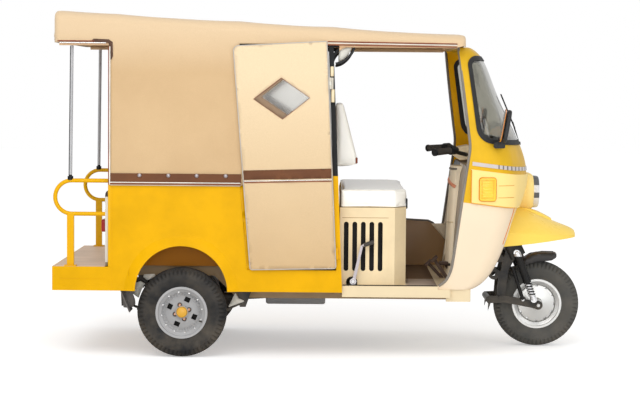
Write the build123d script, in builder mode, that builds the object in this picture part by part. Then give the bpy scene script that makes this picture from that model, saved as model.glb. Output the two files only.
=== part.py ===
"""Auto rickshaw with a canvas canopy, a closed cab front and back-to-back passenger benches.

Millimetres. +X points forward, +Y to the vehicle's left, +Z up. The origin is on the ground,
midway between the rear face of the step and the foremost point of the front tyre.
"""

import os
from math import asin, cos, degrees, radians, sin, tan

from build123d import *

os.makedirs("parts", exist_ok=True)

# ---------------------------------------------------------------- driving dimensions
SIDES = {"right": -1, "left": 1}
FIT = 0.05  # radial clearance of a running fit
REST_GAP = 0.3  # gap between a soft or swinging piece and its seat
SHEET = 4.0  # pressed body sheet, with its coating
PRESS_DEPTH = 1.0

WHEEL_R = 237.0
TYRE_HALF_W = 60.0
RIM_R = 137.0
AXLE_Z = WHEEL_R
REAR_AXLE_X = -745.0
FRONT_AXLE_X = 1186.0
TRACK_HALF = 560.0

RAKE = 26.0  # steering axis, from the vertical, top rearwards
STEER_POINT = (1056.0, 0.0, 541.0)

TUB_HALF_W = 640.0
STEP_REAR_X = -(FRONT_AXLE_X + WHEEL_R)
STEP_FRONT_X = -1120.0
TUB_BOTTOM_Z = 354.0
STEP_Z = 480.0
SILL_Z = 470.0
WAIST_Z = 918.0
ARCH_Z = 350.0
ARCH_R = 243.0
FLOOR_Z = 385.0
DOORWAY_REAR_LOW = (-400.0, SILL_Z)
DOORWAY_REAR_HIGH = (-440.0, WAIST_Z)
REAR_FLOOR_Z = 476.0
WHEELHOUSE_HALF_W = 466.0

RAIL_HALF_GAP = 380.0  # chassis rails, inner faces
RAIL_W = 40.0
RAIL_DEPTH = 56.0
RAIL_LOW_Z = 354.0
RAIL_FRONT_X = 640.0

BENCH_TOP_Z = 780.0
BOARD = 12.0
CUSHION_H = 100.0
BENCH_REAR_X = -1150.0
BENCH_FRONT_X = -400.0
PARTITION_X = (-790.0, -744.0)
PARTITION_TOP_Z = 1320.0

CANVAS_HALF_W = 647.0
CANVAS_T = 6.0
ROOF_REAR_X = -1412.0
ROOF_FRONT_X = 735.0
ROOF_REAR_Z = 1819.0
ROOF_SLOPE = 3.05  # degrees, falling forwards
ROOF_CROWN = 16.0
ROOF_CORNER_R = 58.0
ROOF_EDGE_Z = 1652.0
ROOF_EDGE_FRONT_Z = 1640.0
CANVAS_REAR_X = -1120.0
CANVAS_HEM_Z = 913.0
TUBE_R = 11.0

DOOR_T = 8.0
DOOR_GAP = 1.0
DOOR_CORNERS = ((-478.0, 1640.0), (10.0, 1668.0), (67.0, 482.0), (-383.0, 472.0))
DOOR_CORNER_R = 26.0
DIAMOND = ((-370.0, 1365.0), (-226.0, 1476.0), (-76.0, 1373.0), (-218.0, 1261.0))
HINGE_R = 6.0
HINGE_PIN_R = 3.0
HINGE_STEP = 9.0  # hinge axis ahead of the door's front edge
HINGE_LENGTH = 60.0

BOX_REAR_X = 86.0
BOX_SIDE_FRONT_X = 376.0
BOX_FRONT_X = 438.0
BOX_HALF_W = 560.0
BOX_FRONT_HALF_W = 480.0
BOX_TOP_Z = 797.0
BOX_WALL = 3.0
KICK_AXIS = (158.0, 408.0)

CAB_BACK_X = 560.0
# Horizontal sections of the cab: height, corner x, half width, front x, corner radius.
CAB_SECTIONS = (
    (371, 790, 600, 800, 60),
    (431, 868, 604, 884, 80),
    (533, 925, 608, 950, 95),
    (700, 975, 614, 1025, 120),
    (860, 975, 618, 1095, 150),
    (1010, 955, 620, 1112, 170),
    (1130, 930, 620, 1074, 180),
    (1340, 868, 616, 972, 180),
    (1520, 812, 606, 897, 160),
    (1595, 785, 585, 858, 130),
    (1645, 745, 545, 800, 100),
)
CAB_SPLIT = ((766.0, 828.0), (1013.0, 797.0))  # side view, cream below and yellow above
FASCIA_T = 10.0
GASKET_W = 24.0
RUBBER_PROUD = 5.0
GLASS_T = 5.0
CAB_TOP_Z = CAB_SECTIONS[-1][0]
WELL_HALF_W = 300.0
WELL_TOP_Z = 604.0
WELL_REAR_X = 826.0


def save(piece, name):
    """Labels a finished piece and writes its STEP file."""
    piece.label = name
    export_step(piece, f"parts/{name}.step")


def save_pair(piece, name):
    """Writes a right-hand piece and its mirror image."""
    save(piece, f"{name}_right")
    save(mirror(piece, about=Plane.XZ), f"{name}_left")


def side_plane(half_width):
    """Side-view plane at the right-hand side, whose extrusions grow outwards."""
    return Plane.XZ.offset(half_width)


def press_lines(half_width, lines):
    """Room for shallow pressed lines in both side faces: x from, x to, z from, z to."""
    with BuildPart() as room:
        for sign in SIDES.values():
            with BuildSketch(Plane.XZ.offset(-sign * (half_width - PRESS_DEPTH))):
                for x_from, x_to, z_from, z_to in lines:
                    with Locations(((x_from + x_to) / 2, (z_from + z_to) / 2)):
                        Rectangle(x_to - x_from, z_to - z_from)
            extrude(amount=-sign * 10)
    return room.part


def lean(low, high, z):
    """x on the side-view line through two points, at height z."""
    return low[0] + (high[0] - low[0]) * (z - low[1]) / (high[1] - low[1])


def on_axis(distance):
    """Point on the steering axis, a distance up it from the yoke."""
    x, y, z = STEER_POINT
    return (x - distance * sin(radians(RAKE)), y, z + distance * cos(radians(RAKE)))


STEER_DIR = (-sin(radians(RAKE)), 0.0, cos(radians(RAKE)))


def steer_plane(distance):
    """Plane square to the steering axis, with its y along the vehicle's +Y."""
    forward = (cos(radians(RAKE)), 0, sin(radians(RAKE)))
    return Plane(origin=on_axis(distance), x_dir=forward, z_dir=STEER_DIR)


def rod(start, end, radius):
    """A round bar between two points."""
    a, b = Vector(*start), Vector(*end)
    plane = Plane(origin=a, z_dir=b - a)
    with BuildPart() as bar:
        with BuildSketch(plane):
            Circle(radius)
        extrude(amount=(b - a).length)
    return bar.part


def roof_z(x):
    """Height of the roof's shoulder line at x."""
    return ROOF_REAR_Z - (x - ROOF_REAR_X) * tan(radians(ROOF_SLOPE))


# ---------------------------------------------------------------- wheels
def wheel_plane(x, y):
    return Plane(origin=(x, y, AXLE_Z), x_dir=(0, 1, 0), z_dir=(1, 0, 0))


def make_tyre(x, y):
    """Cross-ply tyre, with a square shoulder and a bulging side wall."""
    bead_w, shoulder_w, crown_w = 47.0, TYRE_HALF_W - 6, TYRE_HALF_W - 16
    bead_r, bulge_r, shoulder_r, tread_r = RIM_R + 2, RIM_R + 48, WHEEL_R - 19, WHEEL_R - 6
    with BuildPart() as tyre:
        with BuildSketch(wheel_plane(x, y)):
            with BuildLine():
                Line((-bead_w, bead_r - 10), (bead_w, bead_r - 10))
                Line((bead_w, bead_r - 10), (bead_w, bead_r))
                ThreePointArc((bead_w, bead_r), (TYRE_HALF_W, bulge_r), (shoulder_w, shoulder_r))
                Line((shoulder_w, shoulder_r), (crown_w, tread_r))
                ThreePointArc((crown_w, tread_r), (0, WHEEL_R), (-crown_w, tread_r))
                Line((-crown_w, tread_r), (-shoulder_w, shoulder_r))
                ThreePointArc((-shoulder_w, shoulder_r), (-TYRE_HALF_W, bulge_r), (-bead_w, bead_r))
                Line((-bead_w, bead_r), (-bead_w, bead_r - 10))
            make_face()
        revolve(axis=Axis((x, y, AXLE_Z), (0, 1, 0)))
    return tyre.part


def rim_barrel(x, y):
    """Drop-centre barrel of a wheel, under the tyre's beads."""
    flange_w, seat_w, well_w = 53.0, 47.0, 22.0
    seat_r, well_r, wall = RIM_R - 8, RIM_R - 26, 4.0
    outline = (
        (-flange_w, RIM_R), (-seat_w, RIM_R), (-seat_w, seat_r), (-well_w - 8, seat_r),
        (-well_w, well_r), (well_w, well_r), (well_w + 8, seat_r), (seat_w, seat_r),
        (seat_w, RIM_R), (flange_w, RIM_R), (flange_w, seat_r - wall), (well_w + 10, seat_r - wall),
        (well_w + 2, well_r - wall), (-well_w - 2, well_r - wall), (-well_w - 10, seat_r - wall),
        (-flange_w, seat_r - wall),
    )
    with BuildPart() as barrel:
        with BuildSketch(wheel_plane(x, y)):
            with BuildLine():
                Polyline(*outline, close=True)
            make_face()
        revolve(axis=Axis((x, y, AXLE_Z), (0, 1, 0)))
    return barrel.part


HUB_R = 34.0
SPINDLE_R = 15.0
DRUM_R = 94.0
DRUM_INNER_Y = -74.0
REAR_SLOTS = 4
SLOT_R = 70.0


def make_rear_rim(y_sign):
    """Cast disc wheel with slots, four nut seats and the brake drum behind it."""
    y = y_sign * TRACK_HALF
    axis = Axis((REAR_AXLE_X, y, AXLE_Z), (0, 1, 0))
    # Axial positions grow outwards: the disc face, the dished centre and the hub's end.
    disc = ((108, 6), (96, 2), (60, 10), (HUB_R, 10), (HUB_R, 24), (SPINDLE_R + FIT, 24))
    back = ((SPINDLE_R + FIT, -40), (HUB_R, -40), (HUB_R, -4), (60, -4), (96, -8), (108, -6))
    drum = (
        (SPINDLE_R + FIT, -40), (DRUM_R, -40), (DRUM_R, DRUM_INNER_Y), (DRUM_R - 8, DRUM_INNER_Y),
        (DRUM_R - 8, -48), (SPINDLE_R + FIT, -48),
    )
    with BuildPart() as rim:
        add(rim_barrel(REAR_AXLE_X, y))
        with BuildSketch(wheel_plane(REAR_AXLE_X, y)):
            with BuildLine():
                Polyline(*((y_sign * a, r) for r, a in disc + back), close=True)
            make_face()
        revolve(axis=axis)
        with BuildSketch(wheel_plane(REAR_AXLE_X, y)):
            with BuildLine():
                Polyline(*((y_sign * a, r) for r, a in drum), close=True)
            make_face()
        revolve(axis=axis)
        face = Plane(origin=(REAR_AXLE_X, y, AXLE_Z), x_dir=(1, 0, 0), z_dir=(0, -1, 0))
        with BuildSketch(face) as slots:
            with PolarLocations(SLOT_R, REAR_SLOTS, start_angle=67):
                Rectangle(26, 30)
            with PolarLocations(39, REAR_SLOTS, start_angle=22):
                Circle(5)
        extrude(slots.sketch, amount=30, both=True, mode=Mode.SUBTRACT)
    return rim.part


for side, sign in SIDES.items():
    save(make_tyre(REAR_AXLE_X, sign * TRACK_HALF), f"rear_tyre_{side}")
    save(make_rear_rim(sign), f"rear_rim_{side}")

FRONT_BOLT_R = 10.0
FRONT_HUB_HALF_W = 62.0

save(make_tyre(FRONT_AXLE_X, 0), "front_tyre")

with BuildPart() as front_rim:
    add(rim_barrel(FRONT_AXLE_X, 0))
    for sign in SIDES.values():
        # Domed, cast brake hub: one half each side of the middle plane.
        half = ((0, 110), (14, 110), (26, 100), (34, 60), (40, 34), (FRONT_HUB_HALF_W, 26))
        bore_r = FRONT_BOLT_R + FIT
        with BuildSketch(wheel_plane(FRONT_AXLE_X, 0)):
            with BuildLine():
                Polyline(
                    *((sign * a, r) for a, r in half),
                    (sign * FRONT_HUB_HALF_W, bore_r), (0, bore_r), close=True,
                )
            make_face()
        revolve(axis=Axis((FRONT_AXLE_X, 0, AXLE_Z), (0, 1, 0)))
    with BuildSketch(Plane(origin=(FRONT_AXLE_X, 0, AXLE_Z), x_dir=(1, 0, 0), z_dir=(0, -1, 0))) as vents:
        with PolarLocations(98, 12):
            Rectangle(7, 18)
    extrude(vents.sketch, amount=80, both=True, mode=Mode.SUBTRACT)
save(front_rim.part, "front_rim")

# ---------------------------------------------------------------- chassis
RAIL_HIGH_Z = REAR_FLOOR_Z - SHEET
KICK_X = (-560.0, -440.0)  # where the rail drops from the rear level to the floor level
RAIL_REAR_X = STEP_REAR_X + SHEET
HEAD_R = 32.0
STEM_R = 20.0
NECK_HALF_W = 30.0
NECK_OUTLINE = (
    (RAIL_FRONT_X + 2, RAIL_LOW_Z - 2), (RAIL_FRONT_X + 58, RAIL_LOW_Z - 2), (775.0, 600.0),
    (985.0, 640.0), (905.0, 810.0), (715.0, 660.0),
)
HEAD_SPAN = (110.0, 430.0)  # head tube, distances up the steering axis
CROSS_X = (-1390.0, -1080.0, -880.0, -610.0, -415.0, -120.0, 120.0, 330.0)
CROSS_W = 40.0
WELD_STEP = 6.0

with BuildPart() as chassis_frame:
    with BuildSketch(side_plane(RAIL_HALF_GAP)):
        with BuildLine():
            Polyline(
                (RAIL_REAR_X, RAIL_HIGH_Z), (KICK_X[0], RAIL_HIGH_Z), (KICK_X[1], RAIL_LOW_Z),
                (RAIL_FRONT_X, RAIL_LOW_Z), (RAIL_FRONT_X, RAIL_LOW_Z - RAIL_DEPTH),
                (KICK_X[1] - 24, RAIL_LOW_Z - RAIL_DEPTH), (KICK_X[0] - 24, RAIL_HIGH_Z - RAIL_DEPTH),
                (RAIL_REAR_X, RAIL_HIGH_Z - RAIL_DEPTH), close=True,
            )
        make_face()
    extrude(amount=RAIL_W)
    mirror(about=Plane.XZ)
    # Cross members between the rails, as deep as the rails less a weld step.
    for cross_x in CROSS_X:
        top = RAIL_HIGH_Z if cross_x < KICK_X[0] else RAIL_LOW_Z
        with BuildSketch(Plane.XY.offset(top - RAIL_DEPTH + WELD_STEP)):
            with Locations((cross_x, 0)):
                Rectangle(CROSS_W, 2 * RAIL_HALF_GAP + 2)
        extrude(amount=RAIL_DEPTH - 2 * WELD_STEP)
    with BuildSketch(Plane.XY.offset(RAIL_LOW_Z - RAIL_DEPTH)):
        with Locations((RAIL_FRONT_X + 30, 0)):
            Rectangle(60, 2 * (RAIL_HALF_GAP + RAIL_W))
    extrude(amount=RAIL_DEPTH)
    # Neck: a box column from the front cross member up to the head tube.
    with BuildSketch(Plane.XZ):
        with BuildLine():
            Polyline(*NECK_OUTLINE, close=True)
        make_face()
    extrude(amount=NECK_HALF_W, both=True)
    with BuildSketch(steer_plane(HEAD_SPAN[0])):
        Circle(HEAD_R)
    extrude(amount=HEAD_SPAN[1] - HEAD_SPAN[0])
    with BuildSketch(steer_plane(HEAD_SPAN[0] - 200)):
        Circle(STEM_R + FIT)
    extrude(amount=HEAD_SPAN[1] - HEAD_SPAN[0] + 400, mode=Mode.SUBTRACT)
save(chassis_frame.part, "chassis_frame")

# ---------------------------------------------------------------- rear axle and springs
SPRING_W = 45.0
PLATE_T = 5.0
SPRING_Y = RAIL_HALF_GAP + RAIL_W + PLATE_T + SPRING_W / 2
SPRING_HALF = 310.0
LEAF_T = 7.0
LEAVES = (310.0, 250.0, 185.0, 120.0)  # half lengths, longest first
SPRING_DROP = 72.0  # middle of the main leaf below its eyes
AXLE_TUBE_R = 30.0
SPRING_TOP_Z = AXLE_Z - AXLE_TUBE_R - 3  # main leaf's top at the axle, which sits over it
SPRING_ARC_R = (SPRING_HALF**2 + SPRING_DROP**2) / (2 * SPRING_DROP)
EYE_R = 14.0
PAD_HALF = 40.0
PAD_LIFT = PAD_HALF**2 / (2 * SPRING_ARC_R)  # rise of the arched leaf at the pad's ends

with BuildPart() as rear_axle:
    with BuildSketch(Plane.XZ.offset(-TRACK_HALF + 76)):
        with Locations((REAR_AXLE_X, AXLE_Z)):
            Circle(AXLE_TUBE_R)
    extrude(amount=2 * (TRACK_HALF - 76))
    with BuildSketch(Plane.XZ.offset(-TRACK_HALF - 22)):
        with Locations((REAR_AXLE_X, AXLE_Z)):
            Circle(SPINDLE_R)
    extrude(amount=2 * (TRACK_HALF + 22))
    # Differential housing, turned about the axle's own line.
    with BuildSketch(Plane(origin=(REAR_AXLE_X, 60, AXLE_Z), x_dir=(0, 1, 0), z_dir=(1, 0, 0))):
        with BuildLine():
            Polyline((-110, 0), (-110, 34), (-62, 92), (62, 92), (110, 34), (110, 0), close=True)
        make_face()
    revolve(axis=Axis((REAR_AXLE_X, 0, AXLE_Z), (0, 1, 0)))
    # Pinion nose and the propeller shaft to the gearbox.
    with BuildSketch(Plane(origin=(REAR_AXLE_X, 60, AXLE_Z), z_dir=(1, 0, 0.06))):
        Circle(38)
    extrude(amount=150)
    with BuildSketch(Plane(origin=(REAR_AXLE_X + 148, 60, AXLE_Z + 9), z_dir=(1, 0, 0.06))):
        Circle(21)
    extrude(amount=640)
    for sign in SIDES.values():
        # Spring pad under the tube, and the brake's back plate.
        with BuildSketch(Plane.XY.offset(SPRING_TOP_Z + PAD_LIFT)):
            with Locations((REAR_AXLE_X, sign * SPRING_Y)):
                Rectangle(2 * PAD_HALF, SPRING_W + 14)
        extrude(amount=24)
        with BuildSketch(Plane.XZ.offset(-sign * (TRACK_HALF - 78) - 3)):
            with Locations((REAR_AXLE_X, AXLE_Z)):
                Circle(DRUM_R - 10)
        extrude(amount=6)
save(rear_axle.part, "rear_axle")


def leaf_face(top_z, half_length):
    """Side view of one leaf: a strip of an arc that rises towards both ends."""
    outer = SPRING_ARC_R + (SPRING_TOP_Z - top_z)
    centre_z = SPRING_TOP_Z + SPRING_ARC_R
    with BuildSketch(side_plane(SPRING_Y - SPRING_W / 2)) as strip:
        with Locations((REAR_AXLE_X, centre_z)):
            Circle(outer + LEAF_T)
            Circle(outer, mode=Mode.SUBTRACT)
        with Locations((REAR_AXLE_X, top_z)):
            Rectangle(2 * half_length, 400, mode=Mode.INTERSECT)
    return strip.sketch


with BuildPart() as leaf_spring:
    for index, half_length in enumerate(LEAVES):
        extrude(leaf_face(SPRING_TOP_Z - index * LEAF_T, half_length), amount=SPRING_W)
    eye_z = SPRING_TOP_Z + SPRING_DROP - LEAF_T / 2
    for end in (-1, 1):
        eye_x = REAR_AXLE_X + end * (SPRING_HALF + 6)
        with BuildSketch(side_plane(SPRING_Y - SPRING_W / 2)):
            with Locations((eye_x, eye_z)):
                Circle(EYE_R)
        extrude(amount=SPRING_W)
    # Front hanger plates and rear shackle plates, either side of the leaves, up to the rail's side.
    front_x, rear_x = REAR_AXLE_X + SPRING_HALF + 6, REAR_AXLE_X - SPRING_HALF - 6
    front_top, rear_top = RAIL_LOW_Z - 14, RAIL_HIGH_Z - RAIL_DEPTH + 24
    hangers = (
        (
            (front_x - 30, front_top), (front_x + 46, front_top),
            (front_x + 16, eye_z - 18), (front_x - 16, eye_z - 18),
        ),
        (
            (rear_x - 24, rear_top), (rear_x + 24, rear_top),
            (rear_x + 15, eye_z - 17), (rear_x - 15, eye_z - 17),
        ),
    )
    for plate in hangers:
        for inner_face in (SPRING_Y - SPRING_W / 2 - PLATE_T, SPRING_Y + SPRING_W / 2):
            with BuildSketch(side_plane(inner_face)):
                with BuildLine():
                    Polyline(*plate, close=True)
                make_face()
            extrude(amount=PLATE_T)
save_pair(leaf_spring.part, "leaf_spring")

# ---------------------------------------------------------------- rear tub
FLARE_W = 56.0
FLARE_OUT = 14.0
PILLAR_W = 27.0
PILLAR_LOW = (87.0, TUB_BOTTOM_Z)  # pillar strip's centre line in side view
PILLAR_HIGH = (61.0, 966.0)
PILLAR_DEPTH = 34.0
SILL_DEPTH = 40.0
BULKHEAD_X = 80.0
CORNER_FLANGE = 32.0
SILL_REAR_X = -490.0
WHEELHOUSE_R = ARCH_R + SHEET


def tub_outline():
    """Side view of the tub's side panel, without its arch."""
    pillar_top = (PILLAR_HIGH[0] + PILLAR_W / 2, PILLAR_HIGH[1])
    with BuildSketch(side_plane(TUB_HALF_W - SHEET)) as outline:
        with BuildLine():
            Polyline(
                (STEP_REAR_X, TUB_BOTTOM_Z), (STEP_REAR_X, STEP_Z), (STEP_FRONT_X, STEP_Z),
                (STEP_FRONT_X, WAIST_Z), DOORWAY_REAR_HIGH, DOORWAY_REAR_LOW,
                (lean(PILLAR_LOW, PILLAR_HIGH, SILL_Z) - PILLAR_W / 2, SILL_Z),
                (PILLAR_HIGH[0] - PILLAR_W / 2, PILLAR_HIGH[1]), pillar_top,
                (PILLAR_LOW[0] + PILLAR_W / 2, TUB_BOTTOM_Z), close=True,
            )
        make_face()
        with Locations((REAR_AXLE_X, ARCH_Z)):
            Circle(ARCH_R, mode=Mode.SUBTRACT)
    return outline.sketch


with BuildPart() as rear_tub:
    extrude(tub_outline(), amount=SHEET)
    # Flared lip around the wheel arch, turned about the arch's centre.
    flare_start = ARCH_R + FLARE_W
    y_in, y_out = -(TUB_HALF_W - SHEET), -(TUB_HALF_W + FLARE_OUT)
    with BuildSketch(Plane(origin=(REAR_AXLE_X, 0, ARCH_Z), x_dir=(0, 1, 0), z_dir=(-1, 0, 0))) as lip:
        with BuildLine():
            Line((y_in, flare_start), (y_in, flare_start - 4))
            Polyline((y_in, flare_start - 4), (y_in, ARCH_R), (y_out, ARCH_R), (y_out, ARCH_R + 8))
            ThreePointArc(
                (y_out, ARCH_R + 8), (-(TUB_HALF_W + 0.55 * FLARE_OUT), ARCH_R + 0.6 * FLARE_W),
                (-TUB_HALF_W, flare_start),
            )
            Line((-TUB_HALF_W, flare_start), (y_in, flare_start))
        make_face()
    revolve(axis=Axis((REAR_AXLE_X, 0, ARCH_Z), (0, 1, 0)))
    # Wheelhouse: a half drum over the wheel with a flat inner wall.
    with BuildSketch(side_plane(WHEELHOUSE_HALF_W)):
        with Locations((REAR_AXLE_X, ARCH_Z)):
            Circle(WHEELHOUSE_R)
    extrude(amount=TUB_HALF_W - SHEET - WHEELHOUSE_HALF_W)
    with BuildSketch(side_plane(WHEELHOUSE_HALF_W + SHEET)):
        with Locations((REAR_AXLE_X, ARCH_Z)):
            Circle(ARCH_R)
    extrude(amount=200, mode=Mode.SUBTRACT)
    # Everything under the body's bottom edge is open, and the inner wall ends at the floor.
    with BuildSketch(Plane.XY.offset(TUB_BOTTOM_Z)):
        with Locations((REAR_AXLE_X, -TUB_HALF_W)):
            Rectangle(800, 400)
    extrude(amount=-400, mode=Mode.SUBTRACT)
    with BuildSketch(side_plane(WHEELHOUSE_HALF_W)):
        with Locations((REAR_AXLE_X, REAR_FLOOR_Z - 100 - SHEET)):
            Rectangle(2 * WHEELHOUSE_R + 2, 200)
    extrude(amount=TUB_HALF_W - 3 * SHEET - WHEELHOUSE_HALF_W, mode=Mode.SUBTRACT)
    # Box sill under the doorway, waist flange, rear corner flange and pillar box.
    side_in, sill_in = TUB_HALF_W - SHEET, TUB_HALF_W - SILL_DEPTH
    house_rear, house_front = REAR_AXLE_X - WHEELHOUSE_R, REAR_AXLE_X + WHEELHOUSE_R
    drop_x = house_front + 60
    boxes = (
        # x from, x to, half width from, to, z from, to
        (SILL_REAR_X, BULKHEAD_X, sill_in, side_in, SILL_Z - SHEET, SILL_Z),
        (SILL_REAR_X, BULKHEAD_X, sill_in, sill_in + SHEET, TUB_BOTTOM_Z + 6, SILL_Z),
        (STEP_FRONT_X, DOORWAY_REAR_HIGH[0], TUB_HALF_W - 30, side_in, WAIST_Z - SHEET, WAIST_Z),
        (STEP_FRONT_X, STEP_FRONT_X + SHEET, TUB_HALF_W - CORNER_FLANGE, side_in, STEP_Z, WAIST_Z),
        # Rear face of the step box, its floor and the floor between the wheelhouses.
        (STEP_REAR_X, STEP_REAR_X + SHEET, 0.0, side_in, TUB_BOTTOM_Z, STEP_Z),
        (STEP_REAR_X, house_rear, 0.0, side_in, REAR_FLOOR_Z - SHEET, REAR_FLOOR_Z),
        (house_rear - 1, drop_x, 0.0, WHEELHOUSE_HALF_W + SHEET, REAR_FLOOR_Z - SHEET, REAR_FLOOR_Z),
        (house_front, drop_x, 0.0, side_in, REAR_FLOOR_Z - SHEET, REAR_FLOOR_Z),
        # Drop to the foot space, its floor and the bulkhead behind the driver.
        (drop_x - SHEET, drop_x, 0.0, side_in, FLOOR_Z - SHEET, REAR_FLOOR_Z),
        (drop_x - SHEET, BULKHEAD_X, 0.0, sill_in + 1, FLOOR_Z - SHEET, FLOOR_Z),
        (BULKHEAD_X - SHEET, BULKHEAD_X, 0.0, sill_in + SHEET, FLOOR_Z - SHEET, BOX_TOP_Z),
    )
    for x_from, x_to, w_from, w_to, z_from, z_to in boxes:
        with BuildSketch(Plane.XY.offset(z_from)):
            with Locations(((x_from + x_to) / 2, -(w_from + w_to) / 2)):
                Rectangle(x_to - x_from, w_to - w_from)
        extrude(amount=z_to - z_from)
    # Pillar box: inner wall and two returns behind the pillar strip.
    with BuildSketch(side_plane(TUB_HALF_W - PILLAR_DEPTH)):
        with BuildLine():
            Polyline(
                (lean(PILLAR_LOW, PILLAR_HIGH, SILL_Z) - PILLAR_W / 2, SILL_Z - SHEET),
                (PILLAR_HIGH[0] - PILLAR_W / 2, PILLAR_HIGH[1]),
                (PILLAR_HIGH[0] + PILLAR_W / 2, PILLAR_HIGH[1]),
                (lean(PILLAR_LOW, PILLAR_HIGH, SILL_Z) + PILLAR_W / 2, SILL_Z - SHEET), close=True,
            )
        make_face()
    extrude(amount=PILLAR_DEPTH - 1)
    mirror(about=Plane.XZ)
# Crease along the step box, seam behind its front edge and a short crease beside the arch.
tub_lines = press_lines(TUB_HALF_W, (
    (STEP_REAR_X + 40, STEP_FRONT_X - 20, 415.5, 418.0),
    (STEP_FRONT_X + 11, STEP_FRONT_X + 13, TUB_BOTTOM_Z + 2, WAIST_Z - 2),
    (STEP_FRONT_X + 100, STEP_FRONT_X + 102, 430.0, 485.0),
))
save(rear_tub.part - tub_lines, "rear_tub")

with BuildPart() as step_deck:
    with BuildSketch(Plane.XY.offset(STEP_Z)):
        with Locations(((STEP_REAR_X + BENCH_REAR_X) / 2, 0)):
            Rectangle(BENCH_REAR_X - STEP_REAR_X, 2 * TUB_HALF_W)
    extrude(amount=-(STEP_Z - REAR_FLOOR_Z))
    # The deck's edges stop inside the tub's own sides and rear face.
    with BuildSketch(Plane.XY.offset(REAR_FLOOR_Z)):
        with Locations(((STEP_REAR_X + SHEET + BENCH_REAR_X) / 2, 0)):
            Rectangle(BENCH_REAR_X - STEP_REAR_X - SHEET, 2 * (TUB_HALF_W - SHEET))
    extrude(amount=STEP_Z - REAR_FLOOR_Z, mode=Mode.INTERSECT)
save(step_deck.part, "step_deck")

# ---------------------------------------------------------------- rails and poles
RAIL_Y = 600.0
RAIL_TOP_Z = 930.0
RAIL_LOW_BAR_Z = 755.0
POST_X = -1331.0
POLE_LOW_X = -1332.0
POLE_HIGH_X = -1324.0
POLE_R = 9.0
ROOF_RAIL_Z = ROOF_EDGE_Z - 4
LOOP_R = (RAIL_TOP_Z - RAIL_LOW_BAR_Z) / 2
LOOP_X = STEP_REAR_X + TUBE_R + LOOP_R

with BuildPart() as side_rail:
    with BuildLine(side_plane(RAIL_Y)) as loop_path:
        Line((STEP_FRONT_X, RAIL_TOP_Z), (LOOP_X, RAIL_TOP_Z))
        loop_mid_z = (RAIL_TOP_Z + RAIL_LOW_BAR_Z) / 2
        ThreePointArc((LOOP_X, RAIL_TOP_Z), (LOOP_X - LOOP_R, loop_mid_z), (LOOP_X, RAIL_LOW_BAR_Z))
        Line((LOOP_X, RAIL_LOW_BAR_Z), (STEP_FRONT_X, RAIL_LOW_BAR_Z))
    with BuildSketch(Plane(origin=(STEP_FRONT_X, -RAIL_Y, RAIL_TOP_Z), z_dir=(-1, 0, 0))):
        Circle(TUBE_R)
    sweep(path=loop_path.wire())
    with BuildSketch(Plane.XY.offset(STEP_Z)):
        with Locations((POST_X, -RAIL_Y)):
            Rectangle(36, 22)
    extrude(amount=RAIL_LOW_BAR_Z - STEP_Z)
    # Foot plate of the post.
    with BuildSketch(Plane.XY.offset(STEP_Z)):
        with Locations((POST_X, -RAIL_Y)):
            Rectangle(62, 48)
    extrude(amount=6)
save_pair(side_rail.part, "side_rail")

pole_low = (POLE_LOW_X, -RAIL_Y, RAIL_TOP_Z + TUBE_R + 2)
pole = rod(pole_low, (POLE_HIGH_X, -RAIL_Y, ROOF_RAIL_Z - TUBE_R), POLE_R)
# Its foot is a cap saddled on the rail.
pole_foot = Pos(pole_low) * Cylinder(POLE_R + 6, 20)
save_pair(pole + pole_foot - side_rail.part, "pole")

# ---------------------------------------------------------------- canopy
ROOF_DIR = (cos(radians(ROOF_SLOPE)), 0, -sin(radians(ROOF_SLOPE)))
ROOF_LENGTH = (ROOF_FRONT_X - ROOF_REAR_X) / cos(radians(ROOF_SLOPE))


def roof_section(inset, low_z):
    """Cross-section of the canopy at its rear end: upright sides, round shoulders and a crowned top."""
    half = CANVAS_HALF_W - inset
    shoulder = ROOF_REAR_Z - inset
    with BuildSketch(Plane.YZ.offset(ROOF_REAR_X)) as section:
        with BuildLine():
            Polyline((-half, shoulder), (-half, low_z), (half, low_z), (half, shoulder))
            ThreePointArc((half, shoulder), (0, shoulder + ROOF_CROWN), (-half, shoulder))
        make_face()
        fillet(section.vertices().filter_by(lambda v: v.Y > low_z + 1), ROOF_CORNER_R - inset)
    return section.sketch


def roof_ends(inset):
    """Side view of the canopy's envelope, with the rounded rear corner and the rolled front."""
    rear, front = ROOF_REAR_X + inset, ROOF_FRONT_X - inset
    with BuildSketch(Plane.XZ) as ends:
        with BuildLine():
            Polyline(
                (rear, 600), (rear, roof_z(rear) + ROOF_CROWN - inset + 2),
                (front, roof_z(front) + ROOF_CROWN - inset + 2), (front, 600), close=True,
            )
        make_face()
        fillet(ends.vertices().sort_by_distance((rear, roof_z(rear)))[0], 46 - inset)
        fillet(ends.vertices().sort_by_distance((front, roof_z(front)))[0], 34 - inset)
    return ends.sketch


def canopy_envelope(inset):
    with BuildPart() as envelope:
        extrude(roof_section(inset, 600), amount=ROOF_LENGTH, dir=ROOF_DIR)
        extrude(roof_ends(inset), amount=CANVAS_HALF_W + 10, both=True, mode=Mode.INTERSECT)
    return envelope.part


SKIRT_FRONT_HIGH = (-445.0, ROOF_EDGE_Z)
HEADER_X = 690.0  # where the valance meets the cab's header
SKIRT_FRONT_LOW = (-412.0, CANVAS_HEM_Z)

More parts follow.
